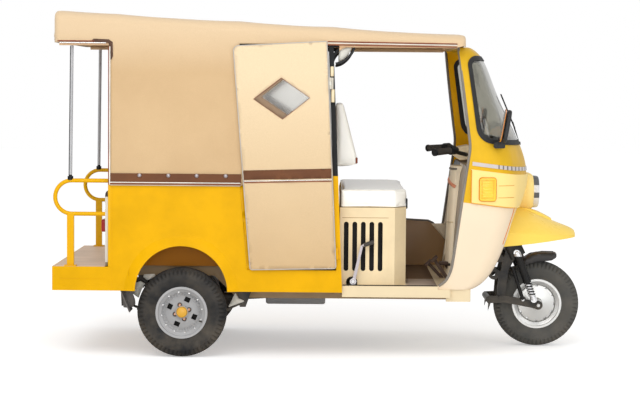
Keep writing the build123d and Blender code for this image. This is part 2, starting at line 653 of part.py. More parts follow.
with BuildPart() as canopy_cover:
    add(canopy_envelope(0))
    add(canopy_envelope(CANVAS_T), mode=Mode.SUBTRACT)
    # Lower edge: overhang, side curtain down to the waist, valance over the doorways.
    with BuildSketch(Plane.XZ):
        with BuildLine():
            Polyline(
                (ROOF_REAR_X - 10, ROOF_EDGE_Z), (CANVAS_REAR_X, ROOF_EDGE_Z),
                (CANVAS_REAR_X, CANVAS_HEM_Z), SKIRT_FRONT_LOW, SKIRT_FRONT_HIGH,
                (HEADER_X, ROOF_EDGE_FRONT_Z),
                (HEADER_X + 24, CAB_TOP_Z + 1), (ROOF_FRONT_X + 10, CAB_TOP_Z + 1),
                (ROOF_FRONT_X + 10, 500), (ROOF_REAR_X - 10, 500), close=True,
            )
        make_face()
    extrude(amount=CANVAS_HALF_W + 20, both=True, mode=Mode.SUBTRACT)
save(canopy_cover.part, "canopy_cover")

TUBE_INSET = CANVAS_T + REST_GAP + TUBE_R
BOW_X = (-1385.0, -1106.0, -452.0, 30.0, 690.0)
PILLAR_TUBE = 26.0
SIDE_TUBE_Y = CANVAS_HALF_W - TUBE_INSET
BRACE_R = 95.0


def bow(x):
    """One roof bow: a tube that follows the canopy's section just inside the canvas."""
    half, shoulder = CANVAS_HALF_W - TUBE_INSET, roof_z(x) - TUBE_INSET
    corner = ROOF_CORNER_R - TUBE_INSET
    with BuildPart() as hoop:
        with BuildSketch(Plane.YZ.offset(x)) as outline:
            with BuildLine():
                Polyline((-half, shoulder), (-half, ROOF_RAIL_Z), (half, ROOF_RAIL_Z), (half, shoulder))
                ThreePointArc((half, shoulder), (0, shoulder + ROOF_CROWN), (-half, shoulder))
            make_face()
            fillet(outline.vertices().filter_by(lambda v: v.Y > ROOF_RAIL_Z + 1), corner)
        edges = outline.sketch.edges().filter_by(lambda e: (e @ 0.5).Z > ROOF_RAIL_Z + 1)
        path = Wire(edges)
        with BuildSketch(Plane(origin=path @ 0, z_dir=path % 0)):
            Circle(TUBE_R)
        sweep(path=path)
    return hoop.part


with BuildPart() as canopy_frame:
    for x in BOW_X:
        add(bow(x))
    # Front bow is joined to the rear bow by a rail along each side.
    with BuildSketch(Plane.YZ.offset(BOW_X[0])):
        with Locations((-SIDE_TUBE_Y, ROOF_RAIL_Z), (SIDE_TUBE_Y, ROOF_RAIL_Z)):
            Circle(TUBE_R)
    extrude(amount=BOW_X[-1] - BOW_X[0])
    # Rear posts stand on the tub's waist flange.
    with BuildSketch(Plane.XY.offset(WAIST_Z)):
        with Locations((BOW_X[1], -TUB_HALF_W + 18), (BOW_X[1], TUB_HALF_W - 18)):
            Circle(TUBE_R)
    extrude(amount=ROOF_RAIL_Z - WAIST_Z)
    # Door pillars: square tubes that lean with the door's front edge, on top of the tub's pillars.
    pillar_z = PILLAR_HIGH[1]
    for sign in SIDES.values():
        with BuildSketch(Plane.XZ.offset(-sign * (TUB_HALF_W - PILLAR_TUBE / 2 - 2) - PILLAR_TUBE / 2)):
            with BuildLine():
                top_x = lean(PILLAR_LOW, PILLAR_HIGH, ROOF_RAIL_Z)
                Polyline(
                    (PILLAR_HIGH[0] - PILLAR_TUBE / 2, pillar_z), (top_x - PILLAR_TUBE / 2, ROOF_RAIL_Z),
                    (top_x + PILLAR_TUBE / 2, ROOF_RAIL_Z), (PILLAR_HIGH[0] + PILLAR_TUBE / 2, pillar_z),
                    close=True,
                )
            make_face()
        extrude(amount=PILLAR_TUBE)
        # Corner brace: a quarter bend between pillar and side rail, with a gusset sheet in it.
        brace_z = ROOF_RAIL_Z - BRACE_R
        brace_plane = Plane.XZ.offset(-sign * SIDE_TUBE_Y)
        with BuildLine(brace_plane) as brace_path:
            JernArc((top_x + 6, brace_z), (0, 1), BRACE_R, -90)
        with BuildSketch(Plane(origin=(top_x + 6, sign * SIDE_TUBE_Y, brace_z), z_dir=(0, 0, 1))):
            Circle(8)
        sweep(path=brace_path.wire())
    # Crossbar behind the driver's backrest.
    bar_z = 1180.0
    bar_x = lean(PILLAR_LOW, PILLAR_HIGH, bar_z)
    with BuildSketch(Plane.XZ.offset(-TUB_HALF_W + 20)):
        with Locations((bar_x, bar_z)):
            Circle(TUBE_R)
    extrude(amount=2 * TUB_HALF_W - 40)
save(canopy_frame.part, "canopy_frame")

STRAP_T = 3.0
STRAP_Z = (922.0, 972.0)
STRAP_X = (CANVAS_REAR_X + 2, -432.0)
with BuildPart() as strap:
    with BuildSketch(side_plane(CANVAS_HALF_W)):
        with Locations(((STRAP_X[0] + STRAP_X[1]) / 2, (STRAP_Z[0] + STRAP_Z[1]) / 2)):
            Rectangle(STRAP_X[1] - STRAP_X[0], STRAP_Z[1] - STRAP_Z[0])
    extrude(amount=STRAP_T)
    mirror(about=Plane.XZ)
save(strap.part, "hem_straps")

# ---------------------------------------------------------------- doors
DOOR_FACE = CANVAS_HALF_W + DOOR_GAP
DOOR_AXIS_Y = DOOR_FACE + DOOR_T / 2
HINGE_HEIGHTS = (560.0, 1450.0)
DOOR_FRONT_LOW = (DOOR_CORNERS[2][0] + HINGE_STEP, DOOR_CORNERS[2][1])
DOOR_FRONT_HIGH = (DOOR_CORNERS[1][0] + HINGE_STEP, DOOR_CORNERS[1][1])


def hinge_piece(middle_z, along_from, along_to, radius):
    """A round piece on the door's hinge axis, between two distances from a hinge's middle."""
    low = Vector(DOOR_FRONT_LOW[0], -DOOR_AXIS_Y, DOOR_FRONT_LOW[1])
    high = Vector(DOOR_FRONT_HIGH[0], -DOOR_AXIS_Y, DOOR_FRONT_HIGH[1])
    direction = (high - low).normalized()
    middle = Vector(lean(DOOR_FRONT_LOW, DOOR_FRONT_HIGH, middle_z), -DOOR_AXIS_Y, middle_z)
    start, end = middle + direction * along_from, middle + direction * along_to
    return rod(tuple(start), tuple(end), radius)


with BuildPart() as door:
    with BuildSketch(side_plane(DOOR_FACE)) as door_side:
        with BuildLine():
            Polyline(*DOOR_CORNERS, close=True)
        make_face()
        fillet(door_side.vertices().sort_by_distance(DOOR_CORNERS[0])[0], DOOR_CORNER_R)
        with BuildLine():
            Polyline(*DIAMOND, close=True)
        make_face(mode=Mode.SUBTRACT)
    extrude(amount=DOOR_T)
    for z in HINGE_HEIGHTS:
        edge_x = lean(DOOR_CORNERS[2], DOOR_CORNERS[1], z)
        with BuildSketch(side_plane(DOOR_FACE + 1)):
            with Locations((edge_x + HINGE_STEP / 2 - 1, z)):
                Rectangle(HINGE_STEP + 6, HINGE_LENGTH / 3 - 2)
        extrude(amount=DOOR_T - 2)
        add(hinge_piece(z, -HINGE_LENGTH / 6 + 0.5, HINGE_LENGTH / 6 - 0.5, HINGE_R))
        add(hinge_piece(z, -HINGE_LENGTH, HINGE_LENGTH, HINGE_PIN_R + FIT), mode=Mode.SUBTRACT)
save_pair(door.part, "door")

with BuildPart() as door_window:
    with BuildSketch(side_plane(DOOR_FACE + DOOR_T / 2 - 1)):
        with BuildLine():
            Polyline(*DIAMOND, close=True)
        make_face()
    extrude(amount=2)
save_pair(door_window.part, "door_window")

with BuildPart() as door_hinges:
    for z in HINGE_HEIGHTS:
        for low, high in ((-HINGE_LENGTH / 2, -HINGE_LENGTH / 6), (HINGE_LENGTH / 6, HINGE_LENGTH / 2)):
            add(hinge_piece(z, low, high, HINGE_R))
        add(hinge_piece(z, -HINGE_LENGTH / 2, HINGE_LENGTH / 2, HINGE_PIN_R))
        # Leaf on the pillar, with a block behind each of its knuckles.
        edge_x = lean(DOOR_FRONT_LOW, DOOR_FRONT_HIGH, z)
        with BuildSketch(side_plane(TUB_HALF_W)):
            with Locations((edge_x + 6, z - HINGE_LENGTH / 3), (edge_x + 6, z + HINGE_LENGTH / 3)):
                Rectangle(20, HINGE_LENGTH / 3 - 1)
            with Locations((edge_x + 11, z)):
                Rectangle(10, HINGE_LENGTH - 1)
        extrude(amount=3)
        with BuildSketch(side_plane(TUB_HALF_W)):
            with Locations((edge_x, z - HINGE_LENGTH / 3), (edge_x, z + HINGE_LENGTH / 3)):
                Rectangle(8, HINGE_LENGTH / 3 - 1)
        extrude(amount=DOOR_AXIS_Y - TUB_HALF_W - 1)
    mirror(about=Plane.XZ)
save(door_hinges.part, "door_hinges")

# ---------------------------------------------------------------- benches
BENCH_HALF_W = TUB_HALF_W - SHEET - 2
BENCH_LOW_HALF_W = TUB_HALF_W - SILL_DEPTH - 2
CUSHION_HALF_W = TUB_HALF_W - CORNER_FLANGE - 4
RISER_HALF_W = RAIL_Y - TUBE_R - 3  # the rear riser passes between the side rails
BACKREST_T = 52.0
BACKREST_TOP_Z = 1305.0

with BuildPart() as bench_base:
    boards = (
        # x from, x to, half width, z from, z to: seat board, rear riser, front riser, partition
        (BENCH_REAR_X, STEP_FRONT_X + 8, CUSHION_HALF_W, BENCH_TOP_Z - BOARD, BENCH_TOP_Z),
        (STEP_FRONT_X + 8, BENCH_FRONT_X + 12, BENCH_HALF_W, BENCH_TOP_Z - BOARD, BENCH_TOP_Z),
        (BENCH_REAR_X, BENCH_REAR_X + BOARD, RISER_HALF_W, STEP_Z, BENCH_TOP_Z),
        (BENCH_FRONT_X, BENCH_FRONT_X + BOARD, BENCH_LOW_HALF_W, FLOOR_Z, BENCH_TOP_Z),
        (PARTITION_X[0], PARTITION_X[1], CUSHION_HALF_W - 20, BENCH_TOP_Z - BOARD, PARTITION_TOP_Z),
    )
    for x_from, x_to, half_w, z_from, z_to in boards:
        with BuildSketch(Plane.XY.offset(z_from)):
            with Locations(((x_from + x_to) / 2, 0)):
                Rectangle(x_to - x_from, 2 * half_w)
        extrude(amount=z_to - z_from)
save(bench_base.part, "bench_base")


def cushion(x_from, x_to, half_w, z_from, z_to, edge_r):
    """A plain padded block with rounded upright corners and a softened top."""
    with BuildPart() as pad:
        with BuildSketch(Plane.XY.offset(z_from)):
            with Locations(((x_from + x_to) / 2, 0)):
                RectangleRounded(x_to - x_from, 2 * half_w, edge_r)
        extrude(amount=z_to - z_from)
        fillet(pad.faces().sort_by(Axis.Z)[-1].edges(), edge_r * 0.6)
    return pad.part


SEAT_LOW_Z = BENCH_TOP_Z + REST_GAP
SEAT_HIGH_Z = BENCH_TOP_Z + CUSHION_H
REAR_FACE_X, FRONT_FACE_X = PARTITION_X[0] - REST_GAP, PARTITION_X[1] + REST_GAP
for name, x_from, x_to in (
    ("seat_rear", BENCH_REAR_X - 14, REAR_FACE_X),
    ("seat_front", FRONT_FACE_X, BENCH_FRONT_X + 24),
):
    save(cushion(x_from, x_to, CUSHION_HALF_W, SEAT_LOW_Z, SEAT_HIGH_Z, 22), name)
for name, x_from, x_to in (
    ("backrest_rear", REAR_FACE_X - BACKREST_T, REAR_FACE_X),
    ("backrest_front", FRONT_FACE_X, FRONT_FACE_X + BACKREST_T),
):
    save(cushion(x_from, x_to, CUSHION_HALF_W - 26, SEAT_HIGH_Z + REST_GAP, BACKREST_TOP_Z, 18), name)

# ---------------------------------------------------------------- lamps, flaps and exhaust at the rear
with BuildPart() as tail_lamps:
    with BuildSketch(Plane.YZ.offset(BENCH_REAR_X)):
        with Locations((-520, 690), (520, 690)):
            RectangleRounded(92, 66, 12)
    extrude(amount=-24)
    fillet(tail_lamps.faces().group_by(Axis.X)[0].edges(), 7)
save(tail_lamps.part, "tail_lamps")

for name, sign in SIDES.items():
    with BuildPart() as mud_flap:
        flap_top = (REAR_AXLE_X - 322.0, TUB_BOTTOM_Z + 14)
        with BuildSketch(Plane.XZ.offset(-sign * TRACK_HALF - 74)):
            with BuildLine():
                Polyline(
                    (flap_top[0] - 4, REAR_FLOOR_Z - SHEET), (flap_top[0], REAR_FLOOR_Z - SHEET), flap_top,
                    (flap_top[0] + 52, flap_top[1] - 128), (flap_top[0] + 48, flap_top[1] - 130),
                    (flap_top[0] - 4, flap_top[1]), close=True,
                )
            make_face()
        extrude(amount=148)
    save(mud_flap.part, f"mud_flap_{name}")

EXHAUST_Y = 250.0
with BuildPart() as exhaust:
    with BuildSketch(Plane.YZ.offset(-330)):
        with Locations((EXHAUST_Y, 240)):
            Circle(52)
    extrude(amount=340)
    fillet(exhaust.edges(), 14)
    with BuildSketch(Plane.YZ.offset(-320)):
        with Locations((EXHAUST_Y, 240)):
            Circle(16)
    extrude(amount=-250)
    with BuildSketch(Plane.YZ.offset(0)):
        with Locations((EXHAUST_Y, 240)):
            Circle(17)
    extrude(amount=150)
    # Hanger straps up to the cross members.
    for x in (CROSS_X[4] + 110, CROSS_X[5]):
        with BuildSketch(Plane.YZ.offset(x - 12)):
            with Locations((EXHAUST_Y, 272)):
                Rectangle(24, 64)
        extrude(amount=24)
save(exhaust.part, "exhaust")

# ---------------------------------------------------------------- driver's floor
FLOOR_FRONT_X = 745.0
SHIELD_TOE_X = 604.0
CAB_SILL = (100.0, 668.0, 329.0)  # from x, to x, underside
FOOT = (675.0, 778.0, 306.0, 371.0)  # from x, to x, underside, top

with BuildPart() as cab_floor:
    with BuildSketch(Plane.XY.offset(FLOOR_Z - SHEET)):
        with Locations(((BULKHEAD_X + FLOOR_FRONT_X) / 2, 0)):
            Rectangle(FLOOR_FRONT_X - BULKHEAD_X, 2 * 592)
        with Locations((250, 0)):
            Rectangle(260, 2 * 340, mode=Mode.SUBTRACT)
    extrude(amount=SHEET)
    for sign in SIDES.values():
        # Side sill, lower where the leg shield stands over it.
        for x_from, x_to, top in (
            (CAB_SILL[0], SHIELD_TOE_X, FLOOR_Z + 3),
            (SHIELD_TOE_X, CAB_SILL[1], FOOT[3]),
        ):
            with BuildSketch(Plane.XY.offset(CAB_SILL[2])):
                with Locations(((x_from + x_to) / 2, sign * (TUB_HALF_W - SILL_DEPTH))):
                    Rectangle(x_to - x_from, SILL_DEPTH)
            extrude(amount=top - CAB_SILL[2])
        with BuildSketch(Plane.XY.offset(FOOT[2])):
            with Locations(((FOOT[0] + FOOT[1]) / 2, sign * 562)):
                RectangleRounded(FOOT[1] - FOOT[0], 60, 8)
        extrude(amount=FOOT[3] - FOOT[2])
        with BuildSketch(Plane.XY.offset(FOOT[2])):
            with Locations((CAB_SILL[1] - 4, sign * 575)):
                Rectangle(30, 2 * (592 - 575))
        extrude(amount=FLOOR_Z - SHEET - FOOT[2])
    # Cross bearers that carry the floor on the chassis rails.
    for x in (106.0, 470.0, RAIL_FRONT_X + 20):
        with BuildSketch(Plane.XY.offset(RAIL_LOW_Z)):
            with Locations((x, 0)):
                Rectangle(36, 2 * 582)
        extrude(amount=FLOOR_Z - SHEET - RAIL_LOW_Z)
    # Slot for the neck of the chassis.
    with BuildSketch(Plane.XY.offset(RAIL_LOW_Z)):
        with Locations((RAIL_FRONT_X + 96, 0)):
            Rectangle(200, 2 * NECK_HALF_W + 4)
    extrude(amount=60, mode=Mode.SUBTRACT)
save(cab_floor.part, "cab_floor")

# ---------------------------------------------------------------- engine box, engine and driver's seat
LOUVRES = 5
LOUVRE_PITCH = 45.0
LOUVRE_FIRST_X = 120.0
LOUVRE_W = 25.0
LOUVRE_Z = (461.0, 722.0)


def box_plan(inset, rear_x):
    """Plan of the engine box, with its two angled front corners."""
    half, front_half = BOX_HALF_W - inset, BOX_FRONT_HALF_W - inset * 0.6
    front, side_front = BOX_FRONT_X - inset, BOX_SIDE_FRONT_X - inset * 0.5
    with BuildSketch() as plan:
        with BuildLine():
            Polyline(
                (rear_x, -half), (side_front, -half), (front, -front_half), (front, front_half),
                (side_front, half), (rear_x, half), close=True,
            )
        make_face()
    return plan.sketch


with BuildPart() as engine_box:
    with BuildSketch(Plane.XY.offset(FLOOR_Z)):
        add(box_plan(0, BOX_REAR_X))
    extrude(amount=BOX_TOP_Z - FLOOR_Z)
    with BuildSketch(Plane.XY.offset(FLOOR_Z - 1)):
        add(box_plan(BOX_WALL, BOX_REAR_X + BOX_WALL))
    extrude(amount=BOX_TOP_Z - FLOOR_Z - BOX_WALL + 1, mode=Mode.SUBTRACT)
    # Service opening in the top, under the seat.
    with BuildSketch(Plane.XY.offset(BOX_TOP_Z)):
        with Locations(((BOX_REAR_X + BOX_SIDE_FRONT_X) / 2, 0)):
            RectangleRounded(220, 760, 30)
    extrude(amount=-30, mode=Mode.SUBTRACT)
    # Louvre slots in both sides and the cut-out for the kick lever's shaft.
    with BuildSketch(Plane.XZ) as slots:
        for index in range(LOUVRES):
            with Locations((LOUVRE_FIRST_X + index * LOUVRE_PITCH, (LOUVRE_Z[0] + LOUVRE_Z[1]) / 2)):
                SlotOverall(LOUVRE_Z[1] - LOUVRE_Z[0], LOUVRE_W, rotation=90)
    extrude(amount=BOX_HALF_W + 10, both=True, mode=Mode.SUBTRACT)
    with BuildSketch(side_plane(BOX_HALF_W - 20)):
        with Locations((KICK_AXIS[0] - 7, FLOOR_Z + 16)):
            Circle(30)
    extrude(amount=40, mode=Mode.SUBTRACT)
box_lines = press_lines(BOX_HALF_W, ((96.0, 346.0, 742.0, 744.5), (343.0, 345.0, 448.0, 590.0)))
save(engine_box.part - box_lines, "engine_box")

ENGINE_HALF_W = 210.0
with BuildPart() as engine:
    # The block stands on two cross members, with its sump between them.
    with BuildSketch(Plane.XY.offset(RAIL_LOW_Z - WELD_STEP)):
        with Locations((240, 0)):
            RectangleRounded(230, 2 * ENGINE_HALF_W, 20)
    extrude(amount=376)
    with BuildSketch(Plane.XY.offset(RAIL_LOW_Z - 90)):
        with Locations((225, 40)):
            RectangleRounded(150, 260, 20)
    extrude(amount=120)
save(engine.part, "engine")

KICK_Y = BOX_HALF_W + 22
with BuildPart() as kick_lever:
    with BuildSketch(side_plane(ENGINE_HALF_W)):
        with Locations(KICK_AXIS):
            Circle(9)
    extrude(amount=KICK_Y - ENGINE_HALF_W + 8)
    with BuildSketch(side_plane(KICK_Y - 6)):
        with BuildLine():
            Polyline((150, 402), (168, 402), (208, 590), (204, 601), (196, 596), close=True)
        make_face()
        with Locations(KICK_AXIS):
            Circle(16)
    extrude(amount=14)
    with BuildSketch(Plane(origin=(200, -KICK_Y, 596), x_dir=(0, 1, 0), z_dir=(0.95, 0, 0.31))):
        Circle(5)
    extrude(amount=20)
    with BuildSketch(Plane(origin=(210, -KICK_Y, 599), x_dir=(0, 1, 0), z_dir=(0.95, 0, 0.31))):
        Circle(9)
    extrude(amount=50)
save(kick_lever.part, "kick_lever")

DRIVER_SEAT_TOP_Z = 892.0
with BuildPart() as driver_seat:
    with BuildSketch(Plane.XY.offset(BOX_TOP_Z + REST_GAP)):
        add(box_plan(0, BOX_REAR_X + 2))
    extrude(amount=DRIVER_SEAT_TOP_Z - BOX_TOP_Z - REST_GAP)
    fillet(driver_seat.faces().sort_by(Axis.Z)[-1].edges(), 14)
save(driver_seat.part, "driver_seat")

with BuildPart() as driver_backrest:
    # Wedge section, thick at the foot; its back rests on the crossbar.
    rest_top, rest_low = (96.0, 1342.0), (182.0, 1015.0)
    back_x = bar_x + TUBE_R + REST_GAP
    with BuildSketch(Plane.XZ.offset(-330)) as wedge:
        with BuildLine():
            Polyline((back_x, rest_top[1]), rest_top, rest_low, (back_x, rest_low[1] - 12), close=True)
        make_face()
        fillet(wedge.vertices().sort_by_distance(rest_low)[0], 12)
    extrude(amount=660)
save(driver_backrest.part, "driver_backrest")

with BuildPart() as side_panel:
    with BuildSketch(Plane.XZ.offset(-(TUB_HALF_W - SILL_DEPTH - 9))) as panel_side:
        with BuildLine():
            Polyline(
                (102, FLOOR_Z + 3), (102, 672), (632, 646), (712, 540), (690, FLOOR_Z + 3), close=True
            )
        make_face()
        fillet(panel_side.vertices().sort_by_distance((632, 646))[0], 30)
    extrude(amount=3)
save(side_panel.part, "side_panel_left")

PEDALS = (
    # y, x and z of the pad's middle
    (-120.0, 570.0, 470.0),
    (-215.0, 598.0, 500.0),
)
with BuildPart() as pedals:
    for y, x, z in PEDALS:
        # Arm from the floor, and the pad square across its top.
        with BuildSketch(Plane.XZ.offset(-y - 6)):
            with BuildLine():
                Polyline((x + 70, FLOOR_Z), (x + 96, FLOOR_Z), (x + 14, z), (x - 2, z - 8), close=True)
            make_face()
        extrude(amount=12)
        with BuildSketch(Plane(origin=(x + 10, y, z - 8), x_dir=(0, 1, 0), z_dir=(-0.7, 0, 0.7))):
            RectangleRounded(64, 46, 8)
        extrude(amount=12)
save(pedals.part, "pedals")

# ---------------------------------------------------------------- cab
def cab_body(inset):
    """Solid of the cab's envelope, a loft through its horizontal sections, moved inwards by an inset."""
    with BuildPart() as body:
        for z, corner_x, half_w, front_x, corner_r in CAB_SECTIONS:
            half, corner = half_w - inset, corner_x - inset
            with BuildSketch(Plane.XY.offset(z)) as section:
                with BuildLine():
                    Line((CAB_BACK_X, -half), (CAB_BACK_X, half))
                    Line((CAB_BACK_X, half), (corner, half))
                    ThreePointArc((corner, half), (front_x - inset, 0), (corner, -half))
                    Line((corner, -half), (CAB_BACK_X, -half))
                make_face()
                fillet(section.vertices().group_by(Axis.X)[-1], corner_r - inset)
        loft()
    return body.part


def side_prism(points, half_w=800.0):
    """A prism through the whole width from a side-view outline."""
    with BuildPart() as prism:
        with BuildSketch(Plane.XZ):
            with BuildLine():
                Polyline(*points, close=True)
            make_face()
        extrude(amount=half_w, both=True)
    return prism.part


outer_body = cab_body(0)
inner_body = cab_body(SHEET)
cab_skin = outer_body - inner_body

# Rear edge of the cab in side view: two straight runs, a round knee and a sweep into the floor.
REAR_EDGE_TOP = (700.0, 1646.0)
KNEE_HIGH = (759.0, 1186.0)
KNEE = (766.0, 1125.0)
KNEE_LOW = (759.0, 1062.0)
SWEEP_HIGH = (681.0, 500.0)
SWEEP_MID = (655.0, 428.0)
SWEEP_LOW = (606.0, 388.0)

with BuildPart() as rear_cut:
    with BuildSketch(Plane.XZ):
        with BuildLine():
            Polyline((400, 300), (400, 1750), (REAR_EDGE_TOP[0], 1750), REAR_EDGE_TOP, KNEE_HIGH)
            ThreePointArc(KNEE_HIGH, KNEE, KNEE_LOW)
            Line(KNEE_LOW, SWEEP_HIGH)
            ThreePointArc(SWEEP_HIGH, SWEEP_MID, SWEEP_LOW)
            Polyline(SWEEP_LOW, (606, 300), (400, 300))
        make_face()
    extrude(amount=800, both=True)
cab_skin = cab_skin - rear_cut.part
top_cap = (outer_body & Pos(900, 0, 1645 - SHEET / 2) * Box(800, 1300, SHEET)) - rear_cut.part

split_slope = (CAB_SPLIT[1][1] - CAB_SPLIT[0][1]) / (CAB_SPLIT[1][0] - CAB_SPLIT[0][0])


def split_z(x, lift=0.0):
    """Height of a body line that runs parallel to the colour split."""
    return CAB_SPLIT[0][1] + lift + split_slope * (x - CAB_SPLIT[0][0])


def body_band(low_lift, high_lift, rear_x, front_x=1300.0):
    """Prism between two lines parallel to the colour split."""
    return side_prism((
        (rear_x, split_z(rear_x, low_lift)), (front_x, split_z(front_x, low_lift)),
        (front_x, split_z(front_x, high_lift)), (rear_x, split_z(rear_x, high_lift)),
    ))


def window_prism(shrink):
    """Side-view outline of the windscreen's opening, which wraps round the front."""
    top_z, low_z = 1602.0 - shrink, 1146.0 + shrink
    top_x, low_x = 742.0 + shrink, 806.0 + shrink
    with BuildPart() as prism:
        with BuildSketch(Plane.XZ) as outline:
            with BuildLine():
                Polyline((top_x, top_z), (1300, top_z), (1300, low_z - 38), (low_x, low_z), close=True)
            make_face()
            fillet(outline.vertices().sort_by_distance((top_x, top_z))[0], 48 - shrink * 0.7)
            fillet(outline.vertices().sort_by_distance((low_x, low_z))[0], 96 - shrink * 0.7)
        extrude(amount=800, both=True)
    return prism.part


window_hole = window_prism(0)
glass_hole = window_prism(GASKET_W)
lower_half = body_band(-900, 0, CAB_BACK_X - 100)

def well_box(grow):
    """Well for the front wheel's steering sweep, open in front and below."""
    height = 2 * (WELL_TOP_Z - 300 + grow)
    return Pos(WELL_REAR_X - grow + 300, 0, 300) * Box(600, 2 * (WELL_HALF_W + grow), height)


well_liner = (well_box(SHEET) - well_box(0)) & outer_body
stem_hole = Pos(*on_axis(150)) * Rot(0, -RAKE, 0) * Cylinder(HEAD_R + 12, 400)
leg_shield = ((cab_skin & lower_half) - well_box(0)) + well_liner - stem_hole
save(leg_shield, "leg_shield")

cab_shell = (cab_skin - lower_half - window_hole) + top_cap
save(cab_shell, "cab_shell")

FASCIA_BAND = (1.0, 180.0, 770.0)
fascia_band = (cab_body(-FASCIA_T) - outer_body) & body_band(*FASCIA_BAND)
fascia_room = cab_body(-FASCIA_T) & body_band(FASCIA_BAND[0] - 1, FASCIA_BAND[1], 700)
HEADLAMP_Z = 859.0
POD_X = (1060.0, 1158.0)
POD_R = (106.0, 90.0)
with BuildPart() as pod:
    with BuildSketch(Plane(origin=(0, 0, HEADLAMP_Z), x_dir=(1, 0, 0), z_dir=(0, -1, 0))):
        with BuildLine():
            Line((POD_X[0], 0), (POD_X[0], POD_R[0]))
            Line((POD_X[0], POD_R[0]), (POD_X[0] + 50, POD_R[0]))
            ThreePointArc((POD_X[0] + 50, POD_R[0]), (POD_X[0] + 84, POD_R[0] - 5), (POD_X[1], POD_R[1]))
            Polyline(
                (POD_X[1], POD_R[1]), (POD_X[1], POD_R[1] - 8), (POD_X[1] - 50, POD_R[1] - 10),
                (POD_X[1] - 50, 0), (POD_X[0], 0),
            )
        make_face()
    revolve(axis=Axis((0, 0, HEADLAMP_Z), (1, 0, 0)))
pod_hole = Pos(1100, 0, HEADLAMP_Z) * Rot(0, 90, 0) * Cylinder(POD_R[0] - 2, 400)
groove_depth = 1.5
fascia_grooves = (
    side_prism(((915, 919.5), (1004, 919.5), (1004, 922.5), (915, 922.5)))
    + side_prism(((915, 856.5), (1004, 856.5), (1004, 859.5), (915, 859.5)))
) - cab_body(groove_depth - FASCIA_T)
save((fascia_band - pod_hole - fascia_grooves) + (pod.part - outer_body), "fascia")

with BuildPart() as headlamp:
    with BuildSketch(Plane(origin=(0, 0, HEADLAMP_Z), x_dir=(1, 0, 0), z_dir=(0, -1, 0))):
        with BuildLine():
            rim_r = POD_R[1] - 1
            Polyline(
                (POD_X[1] - 40, 0), (POD_X[1] - 40, POD_R[1] - 20),
                (POD_X[1], POD_R[1] - 14), (POD_X[1], rim_r),
                (POD_X[1] + 22, rim_r - 2), (POD_X[1] + 31, rim_r - 8), (POD_X[1] + 24, rim_r - 15),
            )
            lens_r = rim_r - 15
            lens_bulge = 14.0
            dome_r = (lens_r**2 + lens_bulge**2) / (2 * lens_bulge)
            CenterArc((POD_X[1] + 24 + lens_bulge - dome_r, 0), dome_r, 0, degrees(asin(lens_r / dome_r)))
            Line((POD_X[1] + 24 + lens_bulge, 0), (POD_X[1] - 40, 0))
        make_face()
    revolve(axis=Axis((0, 0, HEADLAMP_Z), (1, 0, 0)))
save(headlamp.part, "headlamp")

# Each indicator is a raised frame with a groove round its lens.
INDICATOR_OUT = 12.0
lamp_skin = cab_body(-FASCIA_T - INDICATOR_OUT) - cab_body(-FASCIA_T)
groove_skin = lamp_skin - cab_body(4 - FASCIA_T - INDICATOR_OUT)
for name, sign in SIDES.items():
    centre = Pos(858, sign * 620, 902)
    block = centre * Box(84, 90, 118)
    groove = centre * (Box(66, 90, 100) - Box(56, 91, 90))
    frame_and_lens = fillet(block.edges().filter_by(Axis.Y), 12)
    save((lamp_skin & frame_and_lens) - (groove_skin & groove), f"indicator_{name}")

CHROME_BAND = (200.0, 220.0, 777.0)
save((cab_body(-4) - outer_body) & body_band(*CHROME_BAND), "bright_strip")

gasket_ring = window_hole - glass_hole
save((cab_body(-RUBBER_PROUD) - cab_body(10)) & gasket_ring, "windscreen_gasket")
save((outer_body - cab_body(GLASS_T)) & glass_hole, "windscreen")

# Dash and toe board: one folded sheet fitted inside the shell, with a column cowl up its middle.
DASH_OUTER = ((706.0, FLOOR_Z), (724.0, 700.0), (748.0, 960.0), (764.0, 1012.0), (1080.0, 1020.0))
DASH_INNER = ((1080.0, 1016.0), (767.0, 1008.0), (751.0, 960.0), (727.0, 700.0), (709.0, FLOOR_Z))
dash_sheet = side_prism(DASH_OUTER + DASH_INNER)
with BuildPart() as cowl:
    with BuildSketch(Plane.XY.offset(FLOOR_Z)):
        with Locations((728, 0)):
            Rectangle(60, 176)
        with Locations((700, 0)):
            Ellipse(34, 88)
    with BuildSketch(Plane.XY.offset(1000)):
        with Locations((760, 0)):
            Rectangle(60, 196)
        with Locations((734, 0)):
            Ellipse(34, 98)
    loft()
dash_body = cab_body(SHEET + REST_GAP)
column_room = Pos(*on_axis(300)) * Rot(0, -RAKE, 0) * Cylinder(62, 700)
dash = ((dash_sheet & dash_body) + cowl.part) - column_room
neck_room = Pos(RAIL_FRONT_X + 160, 0, 600) * Box(400, 2 * NECK_HALF_W + 6, 520)
save(dash - neck_room, "dash")

# ---------------------------------------------------------------- beak over the front wheel
# Upright cross-sections: x, half width, underside, top of the crown.
BEAK_SECTIONS = (
    (955.0, 338.0, 575.0, 806.0),
    (1060.0, 315.0, 584.0, 786.0),
    (1160.0, 280.0, 593.0, 750.0),
    (1255.0, 222.0, 602.0, 707.0),
    (1340.0, 145.0, 609.0, 674.0),
    (1391.0, 66.0, 613.0, 647.0),
)
BEAK_SIDE = 0.32  # share of the height that stands upright at the edge


def beak_body(inset, drop):
    """Loft through the beak's sections, moved inwards by an inset, with its underside dropped."""
    with BuildPart() as body:
        for x, half, low, top in BEAK_SECTIONS:
            half, top, side = half - inset, top - inset, low + BEAK_SIDE * (top - low)
            with BuildSketch(Plane.YZ.offset(x - inset)):
                with BuildLine():
                    Polyline((-half, side), (-half, low - drop), (half, low - drop), (half, side))
                    ThreePointArc((half, side), (0, top), (-half, side))
                make_face()
        loft()
    return body.part


beak = beak_body(0, 0) - beak_body(SHEET, 30)
